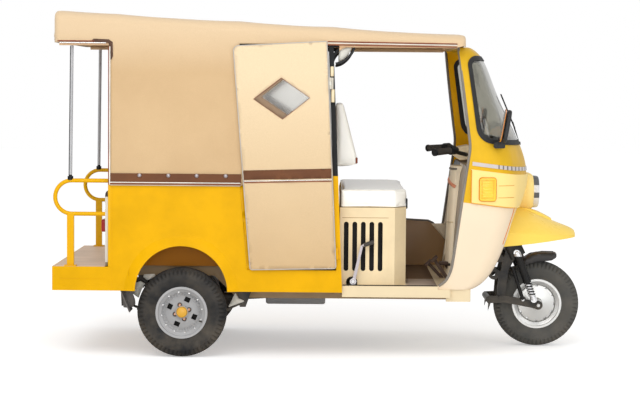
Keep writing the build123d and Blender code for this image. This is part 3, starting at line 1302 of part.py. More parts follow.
# Raised spine from under the lamp pod to the middle of the beak.
SPINE_SECTIONS = (
    # x, half width, underside, top
    (1010.0, 96.0, 740.0, 806.0),
    (1150.0, 82.0, 722.0, 768.0),
    (1262.0, 58.0, 680.0, 714.0),
)
with BuildPart() as spine:
    for x, half, low, top in SPINE_SECTIONS:
        with BuildSketch(Plane.YZ.offset(x)):
            with BuildLine():
                Polyline((-half, low), (half, low), (half * 0.7, top - 8))
                ThreePointArc((half * 0.7, top - 8), (0, top), (-half * 0.7, top - 8))
                Line((-half * 0.7, top - 8), (-half, low))
            make_face()
    loft()
beak = beak + (spine.part - beak_body(SHEET, 30))
pod_room = Pos(1100, 0, HEADLAMP_Z) * Rot(0, 90, 0) * Cylinder(POD_R[0] + 2, 400)
save(beak - outer_body - fascia_room - pod_room, "beak")

# ---------------------------------------------------------------- wiper and mirrors
WIPER_FOOT = (1076.0, -40.0, 1128.0)
WIPER_ELBOW = (1034.0, -96.0, 1246.0)
with BuildPart() as wiper:
    add(rod(WIPER_FOOT, WIPER_ELBOW, 4))
    add(rod((962.0, -150.0, 1398.0), (1048.0, -74.0, 1212.0), 4))
    boss_x, boss_y, boss_z = WIPER_FOOT
    add(rod((boss_x - 24, boss_y, boss_z - 4), (boss_x + 8, boss_y, boss_z + 1), 9))
save(wiper.part - cab_body(-RUBBER_PROUD - REST_GAP), "wiper")

MIRROR_Y = 676.0
with BuildPart() as mirror_head:
    head_plane = Plane(origin=(938, -MIRROR_Y, 1236), x_dir=(0, 1, 0), z_dir=(0.985, 0, -0.17))
    with BuildSketch(head_plane):
        RectangleRounded(104, 172, 40)
    extrude(amount=22)
    fillet(mirror_head.faces().sort_by(Axis.X)[-1].edges(), 9)
    add(rod((934, -MIRROR_Y + 20, 1170), (906, -632, 1138), 6))
    # Bracket on the cab's corner, over the windscreen's rubber.
    with BuildSketch(side_plane(560)):
        with Locations((916, 1133)):
            RectangleRounded(58, 30, 8)
    extrude(amount=80)
save_pair(mirror_head.part - cab_body(-RUBBER_PROUD - REST_GAP), "mirror")

# ---------------------------------------------------------------- steered front assembly
LEG_Y = 105.0
YOKE = (90.0, 76.0)  # along the vehicle, along the steering axis
PIVOT = (977.0, 274.0)
ARM_REAR = (913.0, 264.0)
SHOCK_TOP = (1062.0, 528.0)
SHOCK_LOW = (1160.0, 270.0)
DAMPER_TOP = (1040.0, 452.0)
DAMPER_LOW = (1100.0, 268.0)
STEM_TOP = 560.0

with BuildPart() as fork:
    with BuildSketch(steer_plane(0)):
        Circle(STEM_R)
    extrude(amount=STEM_TOP)
    # Bearing collar below the head tube, and the yoke across both legs.
    with BuildSketch(steer_plane(0)):
        Circle(HEAD_R)
    extrude(amount=HEAD_SPAN[0] - 1)
    with BuildSketch(steer_plane(-YOKE[1] / 2)):
        RectangleRounded(YOKE[0], 2 * (LEG_Y + 22), 18)
    extrude(amount=YOKE[1])
    for sign in SIDES.values():
        y = sign * LEG_Y
        # Main leg: a pressed blade from the yoke down to the arm's pivot.
        with BuildSketch(Plane.XZ.offset(-y - 9)) as leg:
            with BuildLine():
                Polyline(
                    (1012, 560), (1078, 534), (1022, 430), (1000, 268), (958, 264), (966, 380), close=True
                )
            make_face()
            with Locations(PIVOT):
                Circle(24)
        extrude(amount=18)
        # Rubber stop behind the leg.
        with BuildSketch(Plane.XZ.offset(-y - 24)):
            with Locations((940, 408)):
                Circle(31)
                Circle(14, mode=Mode.SUBTRACT)
            with Locations((968, 494)):
                RectangleRounded(40, 40, 10)
        extrude(amount=48)
        with BuildSketch(Plane.XZ.offset(-y - 9)):
            with Locations((972, 412)):
                Rectangle(40, 26)
            with Locations((990, 494)):
                Rectangle(40, 22)
        extrude(amount=18)
save(fork.part, "fork")

with BuildPart() as link_arm:
    for sign in SIDES.values():
        y = sign * (LEG_Y + 16)
        with BuildSketch(Plane.XZ.offset(-y - 7)) as arm:
            with BuildLine():
                Polyline(
                    (ARM_REAR[0] - 6, 246), (ARM_REAR[0] - 6, 284), (1000, 290), (FRONT_AXLE_X, 258),
                    (FRONT_AXLE_X + 12, 250), (FRONT_AXLE_X + 12, 224), (FRONT_AXLE_X, 216),
                    (1000, 250), close=True,
                )
            make_face()
            with Locations((FRONT_AXLE_X, AXLE_Z)):
                Circle(25)
            with Locations(SHOCK_LOW, DAMPER_LOW):
                Circle(19)
            with BuildLine():
                tail_x = ARM_REAR[0]
                Polyline((tail_x - 2, 250), (tail_x + 12, 250), (tail_x - 4, 204), close=True)
            make_face()
        extrude(amount=14)
        # Bolt heads at the pivot, the damper and the shock absorber.
        with BuildSketch(Plane.XZ.offset(-y - 12)):
            with Locations(PIVOT, SHOCK_LOW, DAMPER_LOW):
                Circle(11)
        extrude(amount=24)
    # Cross tube behind the wheel, and the wheel's through bolt with its nuts.
    for x, z, radius, half in (
        (ARM_REAR[0], 266.0, 17.0, LEG_Y + 22.0),
        (FRONT_AXLE_X, AXLE_Z, FRONT_BOLT_R, 134.0),
    ):
        with BuildSketch(Plane.XZ.offset(-half)):
            with Locations((x, z)):
                Circle(radius)
        extrude(amount=2 * half)
    for sign in SIDES.values():
        with BuildSketch(Plane.XZ.offset(-sign * 130 - 6)):
            with Locations((FRONT_AXLE_X, AXLE_Z)):
                Circle(16)
        extrude(amount=12)
save(link_arm.part - fork.part, "link_arm")

with BuildPart() as shock_absorbers:
    for sign in SIDES.values():
        y = sign * (LEG_Y + 34)
        top, low = Vector(SHOCK_TOP[0], y, SHOCK_TOP[1]), Vector(SHOCK_LOW[0], y, SHOCK_LOW[1])
        run = low - top
        for start, end, radius in ((0.0, 0.64, 22.0), (0.0, 1.0, 13.0), (0.94, 1.0, 17.0)):
            add(rod(tuple(top + run * start), tuple(top + run * end), radius))
        # Coil turns below the cover tube.
        for turn in range(5):
            middle = top + run * (0.67 + 0.055 * turn)
            add(rod(tuple(middle), tuple(middle + run.normalized() * 6), 20))
        for centre in (top, low):
            with BuildSketch(Plane.XZ.offset(-centre.Y - 10)):
                with Locations((centre.X, centre.Z)):
                    Circle(17)
            extrude(amount=20)
        damper_y = y - sign * 3
        add(rod((DAMPER_TOP[0], damper_y, DAMPER_TOP[1]), (DAMPER_LOW[0], damper_y, DAMPER_LOW[1]), 10))
save(shock_absorbers.part - fork.part - link_arm.part, "shock_absorbers")

# Handlebar: swept-back tube on the stem, with grips, levers and the cream nacelle.
BAR_R = 11.0
BAR_POINTS = (
    (596.0, -356.0, 1084.0), (684.0, -268.0, 1092.0), (776.0, -110.0, 1066.0), (822.0, 0.0, 1052.0),
)
bar_points = BAR_POINTS + tuple((x, -y, z) for x, y, z in reversed(BAR_POINTS[:-1]))
GRIP_R = 17.0
HEAD_HALF_W = 98.0
with BuildPart() as handlebar:
    with BuildLine():
        bar_path = FilletPolyline(*bar_points, radius=34)
    with BuildSketch(Plane(origin=bar_path @ 0, z_dir=bar_path % 0)):
        Circle(BAR_R)
    sweep(path=bar_path)
    for sign in SIDES.values():
        start, end = Vector(596, sign * 356, 1084), Vector(684, sign * 268, 1092)
        along = (end - start).normalized()
        add(rod(tuple(start - along * 4), tuple(start + along * 118), GRIP_R))
        add(rod(tuple(start - along * 8), tuple(start + along * 2), GRIP_R + 3))
        # Switch pod and lever.
        add(rod(tuple(start + along * 122), tuple(start + along * 158), 24))
        lever_root = start + along * 140 + Vector(24, -sign * 4, -8)
        add(rod(tuple(lever_root), tuple(lever_root + Vector(-88, sign * 62, -6)), 6))
# Cream head over the clamp: its side view and its plan are both rounded.
with BuildPart() as bar_head:
    with BuildSketch(Plane.XZ) as head_side:
        with BuildLine():
            Polyline(
                (700, 1066), (712, 1098), (796, 1116), (836, 1088), (846, 1046), (746, 1034), close=True
            )
        make_face()
        fillet(head_side.vertices(), 10)
    extrude(amount=HEAD_HALF_W, both=True)
    with BuildSketch(Plane.XY.offset(1000)):
        with Locations((773, 0)):
            RectangleRounded(146, 2 * HEAD_HALF_W, 30)
    extrude(amount=150, mode=Mode.INTERSECT)
save(handlebar.part + bar_head.part - fork.part, "handlebar")

# Crown line of the mudguard's underside in side view, from its stay forwards.
MUDGUARD_LINE = ((1096.0, 466.0), (1122.0, 487.0), (1156.0, 508.0), (1224.0, 519.0), (1290.0, 518.0))
MUDGUARD_HALF_W = 72.0
MUDGUARD_T = 4.0
MUDGUARD_CROWN = 8.0
MUDGUARD_FLANGE = 18.0
with BuildPart() as mudguard:
    # Crowned strip with turned-down edges, swept over the front upper part of the tyre.
    with BuildLine():
        crown_line = Spline(*((x, 0, z) for x, z in MUDGUARD_LINE))
    with BuildSketch(Plane(origin=crown_line @ 0, x_dir=(0, 1, 0), z_dir=crown_line % 0)):
        with BuildLine():
            outer, inner = MUDGUARD_HALF_W, MUDGUARD_HALF_W - MUDGUARD_T
            Polyline((-inner, -MUDGUARD_CROWN), (-inner, -MUDGUARD_FLANGE), (-outer, -MUDGUARD_FLANGE))
            Line((-outer, -MUDGUARD_FLANGE), (-outer, MUDGUARD_T - MUDGUARD_CROWN))
            ThreePointArc(
                (-outer, MUDGUARD_T - MUDGUARD_CROWN), (0, MUDGUARD_T), (outer, MUDGUARD_T - MUDGUARD_CROWN)
            )
            Line((outer, MUDGUARD_T - MUDGUARD_CROWN), (outer, -MUDGUARD_FLANGE))
            Polyline((outer, -MUDGUARD_FLANGE), (inner, -MUDGUARD_FLANGE), (inner, -MUDGUARD_CROWN))
            ThreePointArc((inner, -MUDGUARD_CROWN), (0, 0), (-inner, -MUDGUARD_CROWN))
        make_face()
    sweep(path=crown_line)
# Its stay is a plate bolted under the yoke, with a web down to the strip.
STAY_T = 4.0
STAY_HALF_W = 26.0
STAY_SPAN = (6.0, 40.0)  # along the yoke's lower face, forwards from the steering axis


def under_yoke(along):
    """Point in the side view, in the middle of the stay's plate."""
    point = steer_plane(-(YOKE[1] + STAY_T) / 2).from_local_coords(Vector(along, 0, 0))
    return (point.X, point.Z)


with BuildPart() as stay:
    with BuildSketch(steer_plane(-YOKE[1] / 2)):
        with Locations(((STAY_SPAN[0] + STAY_SPAN[1]) / 2, 0)):
            Rectangle(STAY_SPAN[1] - STAY_SPAN[0], 2 * STAY_HALF_W)
    extrude(amount=-STAY_T)
    with BuildSketch(Plane.XZ):
        with BuildLine():
            (rear_x, rear_z), (front_x, front_z) = MUDGUARD_LINE[0], MUDGUARD_LINE[1]
            Polyline(
                under_yoke(STAY_SPAN[0] + 2), under_yoke(STAY_SPAN[1] - 2), (front_x - 4, front_z - 2),
                (rear_x + 4, rear_z + 4), close=True,
            )
        make_face()
    extrude(amount=STAY_HALF_W - 4, both=True)
save(mudguard.part + stay.part, "front_mudguard")
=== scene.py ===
from math import ceil, cos, hypot, pi, radians, sin, sqrt, tan

import bmesh
import bpy
from mathutils import Matrix, Vector, noise
from mathutils.geometry import delaunay_2d_cdt


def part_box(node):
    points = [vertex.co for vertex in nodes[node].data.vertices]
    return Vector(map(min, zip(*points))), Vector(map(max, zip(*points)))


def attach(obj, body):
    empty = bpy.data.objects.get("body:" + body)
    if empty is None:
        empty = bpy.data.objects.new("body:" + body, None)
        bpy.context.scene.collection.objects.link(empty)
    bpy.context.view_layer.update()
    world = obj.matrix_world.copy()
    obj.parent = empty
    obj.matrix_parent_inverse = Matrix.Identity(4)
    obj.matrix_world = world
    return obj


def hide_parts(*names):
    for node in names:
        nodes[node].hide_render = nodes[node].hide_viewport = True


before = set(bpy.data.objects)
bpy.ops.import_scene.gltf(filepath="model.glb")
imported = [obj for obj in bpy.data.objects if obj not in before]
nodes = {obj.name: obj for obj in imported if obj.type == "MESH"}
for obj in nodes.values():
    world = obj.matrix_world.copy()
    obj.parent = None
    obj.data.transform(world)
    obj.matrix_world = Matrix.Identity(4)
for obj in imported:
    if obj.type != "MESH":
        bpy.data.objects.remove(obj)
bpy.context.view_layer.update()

scene = bpy.context.scene
SIDES = {"right": -1, "left": 1}

# ---- sizes shared with the solids, in metres
WHEEL_R = 0.237
RIM_R = 0.137
TYRE_HALF_W = 0.060
REAR_AXLE_X = -0.745
FRONT_AXLE_X = 1.186
TRACK_HALF = 0.560
CANVAS_HALF_W = 0.647
ROOF_REAR_X = -1.412
ROOF_FRONT_X = 0.735
ROOF_REAR_Z = 1.819
ROOF_SLOPE = radians(3.05)
ROOF_CROWN = 0.016
ROOF_EDGE_Z = 1.652
ROOF_EDGE_FRONT_Z = 1.640
CANVAS_REAR_X = -1.120
CANVAS_HEM_Z = 0.913
SKIRT_FRONT_HIGH = (-0.445, 1.652)
SKIRT_FRONT_LOW = (-0.412, 0.913)
BOW_X = (-1.385, -1.106, -0.452, 0.030, 0.690)
DOOR_CORNERS = ((-0.478, 1.640), (0.010, 1.668), (0.067, 0.482), (-0.383, 0.472))
DOOR_FACE = 0.648
DOOR_T = 0.008
DIAMOND = ((-0.370, 1.365), (-0.226, 1.476), (-0.076, 1.373), (-0.218, 1.261))
PILLAR_LOW = (0.087, 0.354)
PILLAR_HIGH = (0.061, 0.966)

# ---- camera, as solved from the photograph
CAMERA_AT = (0.0445, -10.43, 1.442)
CAMERA_YAW, CAMERA_PITCH, CAMERA_ROLL = radians(0.374), radians(90 - 3.517), radians(0.469)
CAMERA_LENS, CAMERA_SENSOR = 105.46, 36.0

# ---- settings
SMOOTH_ANGLE = radians(32)
CLOTH_FRAMES = 14
PAD_SPARE = 0.004
FLOOR_HALF = 30
SKY_LIGHT, FLOOR_GLOW = 0.72, 0.37


# ---- materials
def srgb(r, g, b):
    """Linear colour from 0-255 display values."""
    out = []
    for c in (r, g, b):
        c /= 255
        out.append(c / 12.92 if c <= 0.04045 else ((c + 0.055) / 1.055) ** 2.4)
    return (*out, 1.0)


def shade(color, factor):
    return (*(c * factor for c in color[:3]), 1)


class Nodes:
    """A short way to write a material's node tree."""

    def __init__(self, name):
        self.mat = bpy.data.materials.new(name)
        self.mat.use_nodes = True
        self.tree = self.mat.node_tree
        self.bsdf = self.tree.nodes["Principled BSDF"]
        self.coord = self.add("ShaderNodeTexCoord").outputs["Object"]

    def add(self, kind, **values):
        """A node with its settings and its inputs; an underscore stands for a space in an input's name."""
        node = self.tree.nodes.new(kind)
        for key, value in values.items():
            if hasattr(node, key):
                setattr(node, key, value)
            else:
                self.put(node, key.replace("_", " "), value)
        return node

    def put(self, node, socket, value):
        target = node.inputs[socket]
        if isinstance(value, bpy.types.NodeSocket):
            self.tree.links.new(value, target)
        else:
            target.default_value = value

    def set(self, **values):
        for key, value in values.items():
            self.put(self.bsdf, key.replace("_", " "), value)

    def noise(self, scale, detail=3.0, stretch=None):
        vector = self.coord
        if stretch:
            vector = self.add("ShaderNodeMapping", Vector=vector, Scale=stretch).outputs["Vector"]
        node = self.add("ShaderNodeTexNoise", Vector=vector, Scale=scale, Detail=detail, Roughness=0.55)
        return node.outputs["Fac"]

    def ramp(self, value, low, high, to_low=0.0, to_high=1.0):
        node = self.add("ShaderNodeMapRange", Value=value, From_Min=low, From_Max=high, To_Min=to_low, To_Max=to_high)
        return node.outputs["Result"]

    def math(self, op, a, b=0.0):
        node = self.add("ShaderNodeMath", operation=op)
        self.put(node, 0, a)
        self.put(node, 1, b)
        return node.outputs[0]

    def times(self, a, b):
        return self.math("MULTIPLY", a, b)

    def plus(self, a, b):
        return self.math("ADD", a, b)

    def minus(self, a, b):
        return self.math("SUBTRACT", a, b)

    def over(self, a, b):
        return self.math("GREATER_THAN", a, b)

    def under(self, a, b):
        return self.math("LESS_THAN", a, b)

    def span(self, value, low, high):
        """1 where a value lies between two others and 0 elsewhere."""
        return self.times(self.over(value, low), self.under(value, high))

    def mix(self, factor, a, b):
        node = self.add("ShaderNodeMix", data_type="RGBA")
        for index, value in ((0, factor), (6, a), (7, b)):
            self.put(node, index, value)
        return node.outputs[2]

    def axis(self, name):
        return self.add("ShaderNodeSeparateXYZ", Vector=self.coord).outputs[name]

    def aside(self):
        """Distance from the vehicle's middle plane."""
        return self.math("ABSOLUTE", self.axis("Y"))

    def bump(self, height, strength=0.3, distance=0.001):
        node = self.add("ShaderNodeBump", Height=height, Strength=strength, Distance=distance)
        if self.bsdf.inputs["Normal"].is_linked:
            self.tree.links.new(self.bsdf.inputs["Normal"].links[0].from_socket, node.inputs["Normal"])
        self.set(Normal=node.outputs["Normal"])


DUST = srgb(176, 160, 136)


def dusty(n, color, low=0.05, high=0.75, amount=0.35):
    """Colour with road dust that thins out upwards."""
    height = n.ramp(n.axis("Z"), low, high, amount, 0.0)
    patches = n.ramp(n.noise(9.0, 6.0), 0.35, 0.75)
    return n.mix(n.times(height, patches), color, DUST)


def paint(name, rgb, rough=0.28, coat=0.2, dust=0.3, tone=0.05, shine=0.3):
    """Sprayed enamel: slight tone changes, orange peel and road dust low down."""
    n, color = Nodes(name), srgb(*rgb)
    base = n.mix(n.ramp(n.noise(2.2, 4.0), 0.35, 0.7), color, shade(color, 1 - tone))
    n.set(Base_Color=dusty(n, base, amount=dust), Coat_Weight=coat, Coat_Roughness=0.08, Specular_IOR_Level=shine)
    n.set(Roughness=n.ramp(n.noise(14.0, 5.0), 0.3, 0.8, rough, rough + 0.14))
    n.bump(n.noise(420.0, 2.0), 0.05, 0.0004)
    n.bump(n.noise(3.0, 2.0), 0.25, 0.002)
    return n.mat


def metal(name, rgb, rough=0.3, grain=None, dust=0.1):
    n = Nodes(name)
    n.set(Metallic=1.0, Base_Color=dusty(n, srgb(*rgb), amount=dust))
    n.set(Roughness=n.ramp(n.noise(30.0, 4.0, grain), 0.3, 0.8, rough, rough + 0.15))
    n.bump(n.noise(160.0, 3.0, grain), 0.08, 0.0006)
    return n.mat


def plastic(name, rgb, rough=0.5, dust=0.2, grain=600.0):
    n, color = Nodes(name), srgb(*rgb)
    light = (*(min(1.0, c * 1.35 + 0.004) for c in color[:3]), 1)
    base = n.mix(n.ramp(n.noise(7.0, 5.0), 0.4, 0.8), color, light)
    n.set(Base_Color=dusty(n, base, amount=dust), Roughness=n.ramp(n.noise(11.0), 0.3, 0.8, rough, rough + 0.15))
    n.set(Specular_IOR_Level=0.3)
    n.bump(n.noise(grain, 2.0), 0.12, 0.0005)
    return n.mat


def canvas(name, rgb, dark, dust=0.1, high=None, lit_heights=(1.50, 1.72)):
    """Woven cloth; high is its paler colour above the span of heights, painted light where the cloth faces the sky."""
    n, dark = Nodes(name), srgb(*dark)
    base = n.mix(n.ramp(n.noise(3.5, 6.0), 0.3, 0.75), srgb(*rgb), dark)
    if high:
        # Painted light: the cloth turns paler above the given heights.
        base = n.mix(n.ramp(n.axis("Z"), *lit_heights), base, srgb(*high))
    base = n.mix(n.ramp(n.noise(260.0, 2.0), 0.2, 0.8, 0.0, 0.22), base, shade(dark, 0.7))
    n.set(Base_Color=dusty(n, base, 0.4, 1.3, dust), Roughness=0.72, Sheen_Weight=0.25, Sheen_Roughness=0.5)
    n.set(Specular_IOR_Level=0.35)
    # Plain weave: two crossed thread waves, seen on sides and top alike.
    along, across, up = (n.math("ABSOLUTE", n.math("SINE", n.times(n.axis(a), 2200.0))) for a in "XYZ")
    n.bump(n.plus(n.times(along, up), across), 0.35, 0.0004)
    n.bump(n.noise(22.0, 5.0), 0.35, 0.0025)
    return n.mat


def vinyl(name, rgb, rough=0.42, coat=0.0, tone=0.92):
    """Leathercloth with a fine pebble grain."""
    n, color = Nodes(name), srgb(*rgb)
    base = n.mix(n.ramp(n.noise(5.0, 4.0), 0.35, 0.75), color, shade(color, tone))
    n.set(Base_Color=base, Coat_Weight=coat, Coat_Roughness=0.12)
    n.set(Roughness=n.ramp(n.noise(20.0), 0.3, 0.8, rough, rough + 0.12))
    n.bump(n.add("ShaderNodeTexVoronoi", Vector=n.coord, Scale=420.0).outputs["Distance"], 0.35, 0.0006)
    n.bump(n.noise(30.0, 4.0), 0.15, 0.002)
    return n.mat


def tread_plate(name):
    """Painted tread plate with small raised bars in two directions."""
    n = Nodes(name)
    n.set(Base_Color=n.mix(n.ramp(n.noise(6.0, 5.0), 0.3, 0.75), srgb(238, 210, 184), srgb(214, 186, 160)))
    n.set(Roughness=0.5, Metallic=0.2)
    one, two = (n.math("SINE", n.times(n.math(op, n.axis("X"), n.axis("Y")), 210.0)) for op in ("ADD", "SUBTRACT"))
    n.bump(n.ramp(n.times(one, two), 0.25, 0.6), 0.8, 0.0015)
    return n.mat


def glass(name, color, rough=0.02):
    n = Nodes(name)
    n.set(Base_Color=color, Roughness=rough, Transmission_Weight=1.0, IOR=1.45, Alpha=1.0)
    return n.mat


def zoned(name, rgb, other, zone, rough=0.4, metal_zone=False, dust=0.05, shine=0.2, third=None):
    """Two finishes in one moulding: zone(n) is 1 where the second starts; third is a (colour, zone) of the first."""
    n, base, other = Nodes(name), srgb(*rgb), srgb(*other)
    where = zone(n)
    tone = n.ramp(n.noise(6.0, 5.0), 0.35, 0.75)
    first = n.mix(tone, base, shade(base, 0.85))
    if third:
        first = n.mix(third[1](n), first, srgb(*third[0]))
    second = n.mix(tone, other, shade(other, 0.92))
    n.set(Base_Color=dusty(n, n.mix(where, first, second), amount=dust))
    n.set(Roughness=n.ramp(n.noise(16.0, 4.0), 0.3, 0.8, rough, rough + 0.12), Specular_IOR_Level=shine)
    if metal_zone:
        n.set(Metallic=n.times(where, 0.9))
    n.bump(n.noise(380.0, 2.0), 0.06, 0.0004)
    return n.mat


def cowl_zone(n):
    """The column cowl: a band up the middle that widens with height."""
    return n.under(n.aside(), n.ramp(n.axis("Z"), 0.385, 1.0, 0.0885, 0.0985))


def head_zone(n):
    """The box of the handlebar's head."""
    inside = n.times(n.span(n.axis("X"), 0.6995, 0.8465), n.span(n.axis("Y"), -0.0985, 0.0985))
    return n.times(inside, n.span(n.axis("Z"), 1.0335, 1.1165))


def strut_zone(n):
    """Bright parts of the shock absorbers: top eye, coil turns and rod, but not the dampers."""
    x, z = n.axis("X"), n.axis("Z")
    front = n.over(n.plus(x, n.times(z, 0.353)), 1.225)
    turns = n.over(n.math("SINE", n.times(n.minus(0.3537, z), 442.8)), 0.0)
    ends = n.plus(n.under(z, 0.290), n.over(z, 0.508))
    return n.times(front, n.math("MINIMUM", n.plus(n.times(n.span(z, 0.290, 0.358), turns), ends), 1.0))


def hollow_zone(n):
    """Faces that look towards the vehicle's middle plane: the inside of a box."""
    faces = n.add("ShaderNodeSeparateXYZ", Vector=n.add("ShaderNodeNewGeometry").outputs["True Normal"])
    return n.under(n.times(faces.outputs["Y"], n.axis("Y")), -0.2)


def drum_shade_zone(n):
    """Painted shade: near-black for the dark depth behind a rear wheel's disc."""
    x, z = n.minus(n.axis("X"), REAR_AXLE_X), n.minus(n.axis("Z"), WHEEL_R)
    near = n.plus(n.times(x, x), n.times(z, z))
    return n.times(n.under(n.aside(), TRACK_HALF - 0.0008), n.under(near, 0.0108))


def under_zone(n):
    """Shaded inner panels of the tub behind the wheels."""
    return n.times(n.under(n.aside(), 0.622), n.times(n.over(n.axis("X"), -1.10), n.under(n.axis("Z"), 0.78)))


def wrapped_zone(n):
    """Front rails and rear overhang of the canopy frame, wrapped in tan cloth."""
    x = n.axis("X")
    return n.times(n.math("MAXIMUM", n.over(x, 0.075), n.under(x, -1.125)), n.over(n.axis("Z"), 1.60))


def trim_zone(n):
    """Short dark gaps between the raised segments at the front of the bright strip."""
    x = n.axis("X")
    return n.times(n.over(n.math("SINE", n.times(x, 262.0)), 0.55), n.over(x, 0.905))


def bezel_reflection_zone(n):
    """Painted reflection: darker bands across the headlamp's bezel, for what its chrome reflects."""
    z = n.axis("Z")
    return n.math("MAXIMUM", n.span(z, 0.898, 0.950), n.span(z, 0.828, 0.858))


BLACK = (34, 34, 35)
M = {
    "yellow": paint("yellow_enamel", (223, 167, 0), dust=0.01, shine=0.1, coat=0.08),
    "cream": paint("cream_enamel", (224, 205, 168), dust=0.1),
    "black": paint("black_enamel", (26, 26, 27), rough=0.38, coat=0.1, tone=0.3),
    "chassis": paint("chassis_enamel", (150, 126, 92), rough=0.5, coat=0.0, dust=0.5),
    # Painted light: the fascia and the beak are given paler yellows than the cab, for the strong light on the front.
    "lamp_yellow": paint("fascia_plastic", (248, 219, 140), rough=0.42, coat=0.0, dust=0.0, shine=0.08),
    "silver": paint("silver_paint", (176, 178, 180), rough=0.35),
    "board": paint("painted_board", (150, 140, 118), rough=0.5, coat=0.0, dust=0.1),
    "gold": paint("yellow_cap", (214, 160, 40), rough=0.3, dust=0.1),
    "cream_light": paint("leg_shield_enamel", (233, 213, 184), dust=0.05),
    "shade_brown": paint("shaded_panel_enamel", (156, 116, 66), dust=0.0),
    "beak": paint("beak_enamel", (250, 214, 96), dust=0.0, coat=0.12, rough=0.24, shine=0.12),
    "bracket": paint("bracket_enamel", (216, 214, 204), rough=0.4, dust=0.2),
    "ochre": paint("ochre_edge", (222, 146, 22), dust=0.0),
    "orange": paint("orange_edge", (214, 124, 12), dust=0.0),
    # Painted light: tan_canvas turns paler over the roof, and door_canvas paler towards its top.
    "canvas": canvas("tan_canvas", (206, 175, 132), (196, 164, 122), high=(216, 190, 154)),
    "canvas_dark": canvas("brown_canvas", (92, 62, 44), (70, 46, 34)),
    "canvas_door": canvas("door_canvas", (204, 173, 128), (196, 164, 120), high=(229, 207, 171), lit_heights=(0.45, 1.5)),
    "strap": canvas("strap_webbing", (114, 68, 34), (92, 52, 26), dust=0.0),
    # Painted shade: a darker copy of the door canvas, for the cover's inner edge seen through the window.
    "hem": canvas("window_edge_shade_canvas", (150, 124, 98), (132, 108, 84), dust=0.0),
    "vinyl_cream": vinyl("cream_leathercloth", (255, 252, 243), 0.3, 0.7, 0.98),
    "vinyl_dark": vinyl("dark_leathercloth", (58, 46, 40)),
    "rubber": plastic("black_rubber", (38, 38, 38), 0.6),
    # Painted light and shade: the front tyre's rubber is lighter than the rear tyres', where more light falls on the
    # front tyre.
    "tyre": plastic("tyre_rubber", (27, 27, 28), 0.62, 0.22),
    "tyre_front": plastic("front_tyre_rubber", (66, 66, 64), 0.6, 0.14),
    "black_plastic": plastic("black_plastic", (34, 34, 35), 0.45),
    "grey_rubber": plastic("grey_beading", (120, 114, 106), 0.55),
    "guard": plastic("mudguard_plastic", (74, 56, 52), 0.36, 0.03),
    "guard_side": plastic("mudguard_side", (58, 56, 56), 0.42, 0.03),
    "red": plastic("red_lens", (150, 16, 12), 0.12, 0.05, 60.0),
    "amber": plastic("amber_lens", (248, 184, 62), 0.1, 0.0, 60.0),
    "white_piping": plastic("white_piping", (222, 218, 208), 0.4, 0.0),
    "brown_piping": plastic("brown_piping", (124, 60, 36), 0.45, 0.0),
    "edge_piping": plastic("edge_piping", (176, 170, 162), 0.45, 0.0),
    "pedal": plastic("pedal_rubber", (70, 52, 42), 0.6, 0.1),
    "grip": plastic("grip_rubber", (64, 60, 56), 0.6, 0.0),
    # Painted shade: near-black for holes, the floor's edge and the space behind the louvres.
    "dark": plastic("painted_shade_black", (16, 14, 13), 0.8, 0.0),
    "red_trim": plastic("red_brown_trim", (216, 142, 110), 0.5, 0.0),
    "flap": plastic("mud_flap_rubber", (92, 90, 90), 0.8, 0.3),
    "steel": metal("bare_steel", (196, 196, 196), 0.28, (1.0, 1.0, 18.0)),
    "chrome": metal("chrome_plate", (232, 232, 234), 0.06, None, 0.0),
    "cast": metal("cast_steel", (172, 165, 168), 0.4),
    "iron": metal("cast_iron", (90, 88, 86), 0.55),
    "alu": metal("cast_aluminium", (84, 84, 84), 0.55),
    "copper": metal("passivated_nut", (206, 160, 134), 0.4),
    "bright_trim": metal("bright_trim", (214, 214, 214), 0.2),
    "front_rim": metal("front_rim_cast", (216, 216, 214), 0.34),
    # Painted shade: the dash sheet is taupe on the near side and black on the far side, which lies in shade.
    "dash": zoned("dash_and_cowl", BLACK, (252, 236, 208), cowl_zone,
                  third=((176, 160, 140), lambda n: n.under(n.axis("Y"), -0.098))),
    # Painted shade: the mat is taupe near the doorway and dark brown further in, where shade falls under the canopy.
    "mat": zoned("floor_mat", (172, 156, 142), (118, 92, 66), lambda n: n.over(n.axis("Y"), -0.23), 0.8),
    "handlebar": zoned("handlebar_and_head", BLACK, (232, 212, 176), head_zone),
    "strut": zoned("struts", (22, 22, 23), (224, 224, 226), strut_zone, 0.2, True),
    # Painted shade: the engine box's inner faces are near-black for the shade inside it.
    "engine_box": zoned("engine_box_enamel", (229, 208, 168), (12, 11, 10), hollow_zone, 0.3),
    # Painted shade: near-black behind each rear wheel's disc.
    "rear_rim": zoned("rear_rim_enamel", (166, 166, 167), (10, 10, 10), drum_shade_zone, 0.35),
    "pole": zoned("pole_finish", (178, 178, 180), (20, 20, 20), lambda n: n.under(n.axis("Z"), 0.9605), 0.3),
    "hinges": zoned("hinge_finish", (206, 200, 186), (224, 164, 0), lambda n: n.under(n.axis("Z"), 0.93), 0.35),
    # Painted light: the cab shell's inner faces are a brighter, deeper orange than its outside, for the light falling
    # into the cab.
    "cab_shell": zoned("cab_enamel", (222, 176, 40), (255, 186, 0), hollow_zone, 0.32, dust=0.0, shine=0.07),
    "rear_tub": zoned("tub_enamel", (224, 168, 0), (160, 100, 2), under_zone, 0.28, dust=0.0, shine=0.08),
    "canopy_frame": zoned("canopy_frame_finish", (26, 26, 27), (214, 178, 140), wrapped_zone, 0.5),
    "bright_strip": zoned("bright_strip_finish", (200, 192, 188), (118, 112, 108), trim_zone, 0.2),
    # Painted reflection: dark bands on the otherwise pale bezel.
    "bezel": zoned("bezel_painted_reflection", (226, 226, 228), (96, 98, 102), bezel_reflection_zone, 0.12),
    "deck": tread_plate("tread_plate"),
    "glass": glass("windscreen_glass", (0.62, 0.61, 0.55, 1)),
    "film": glass("clear_film", (0.84, 0.83, 0.80, 1), 0.12),
    "lamp_glass": glass("lamp_lens", (0.96, 0.97, 0.97, 1), 0.05),
}

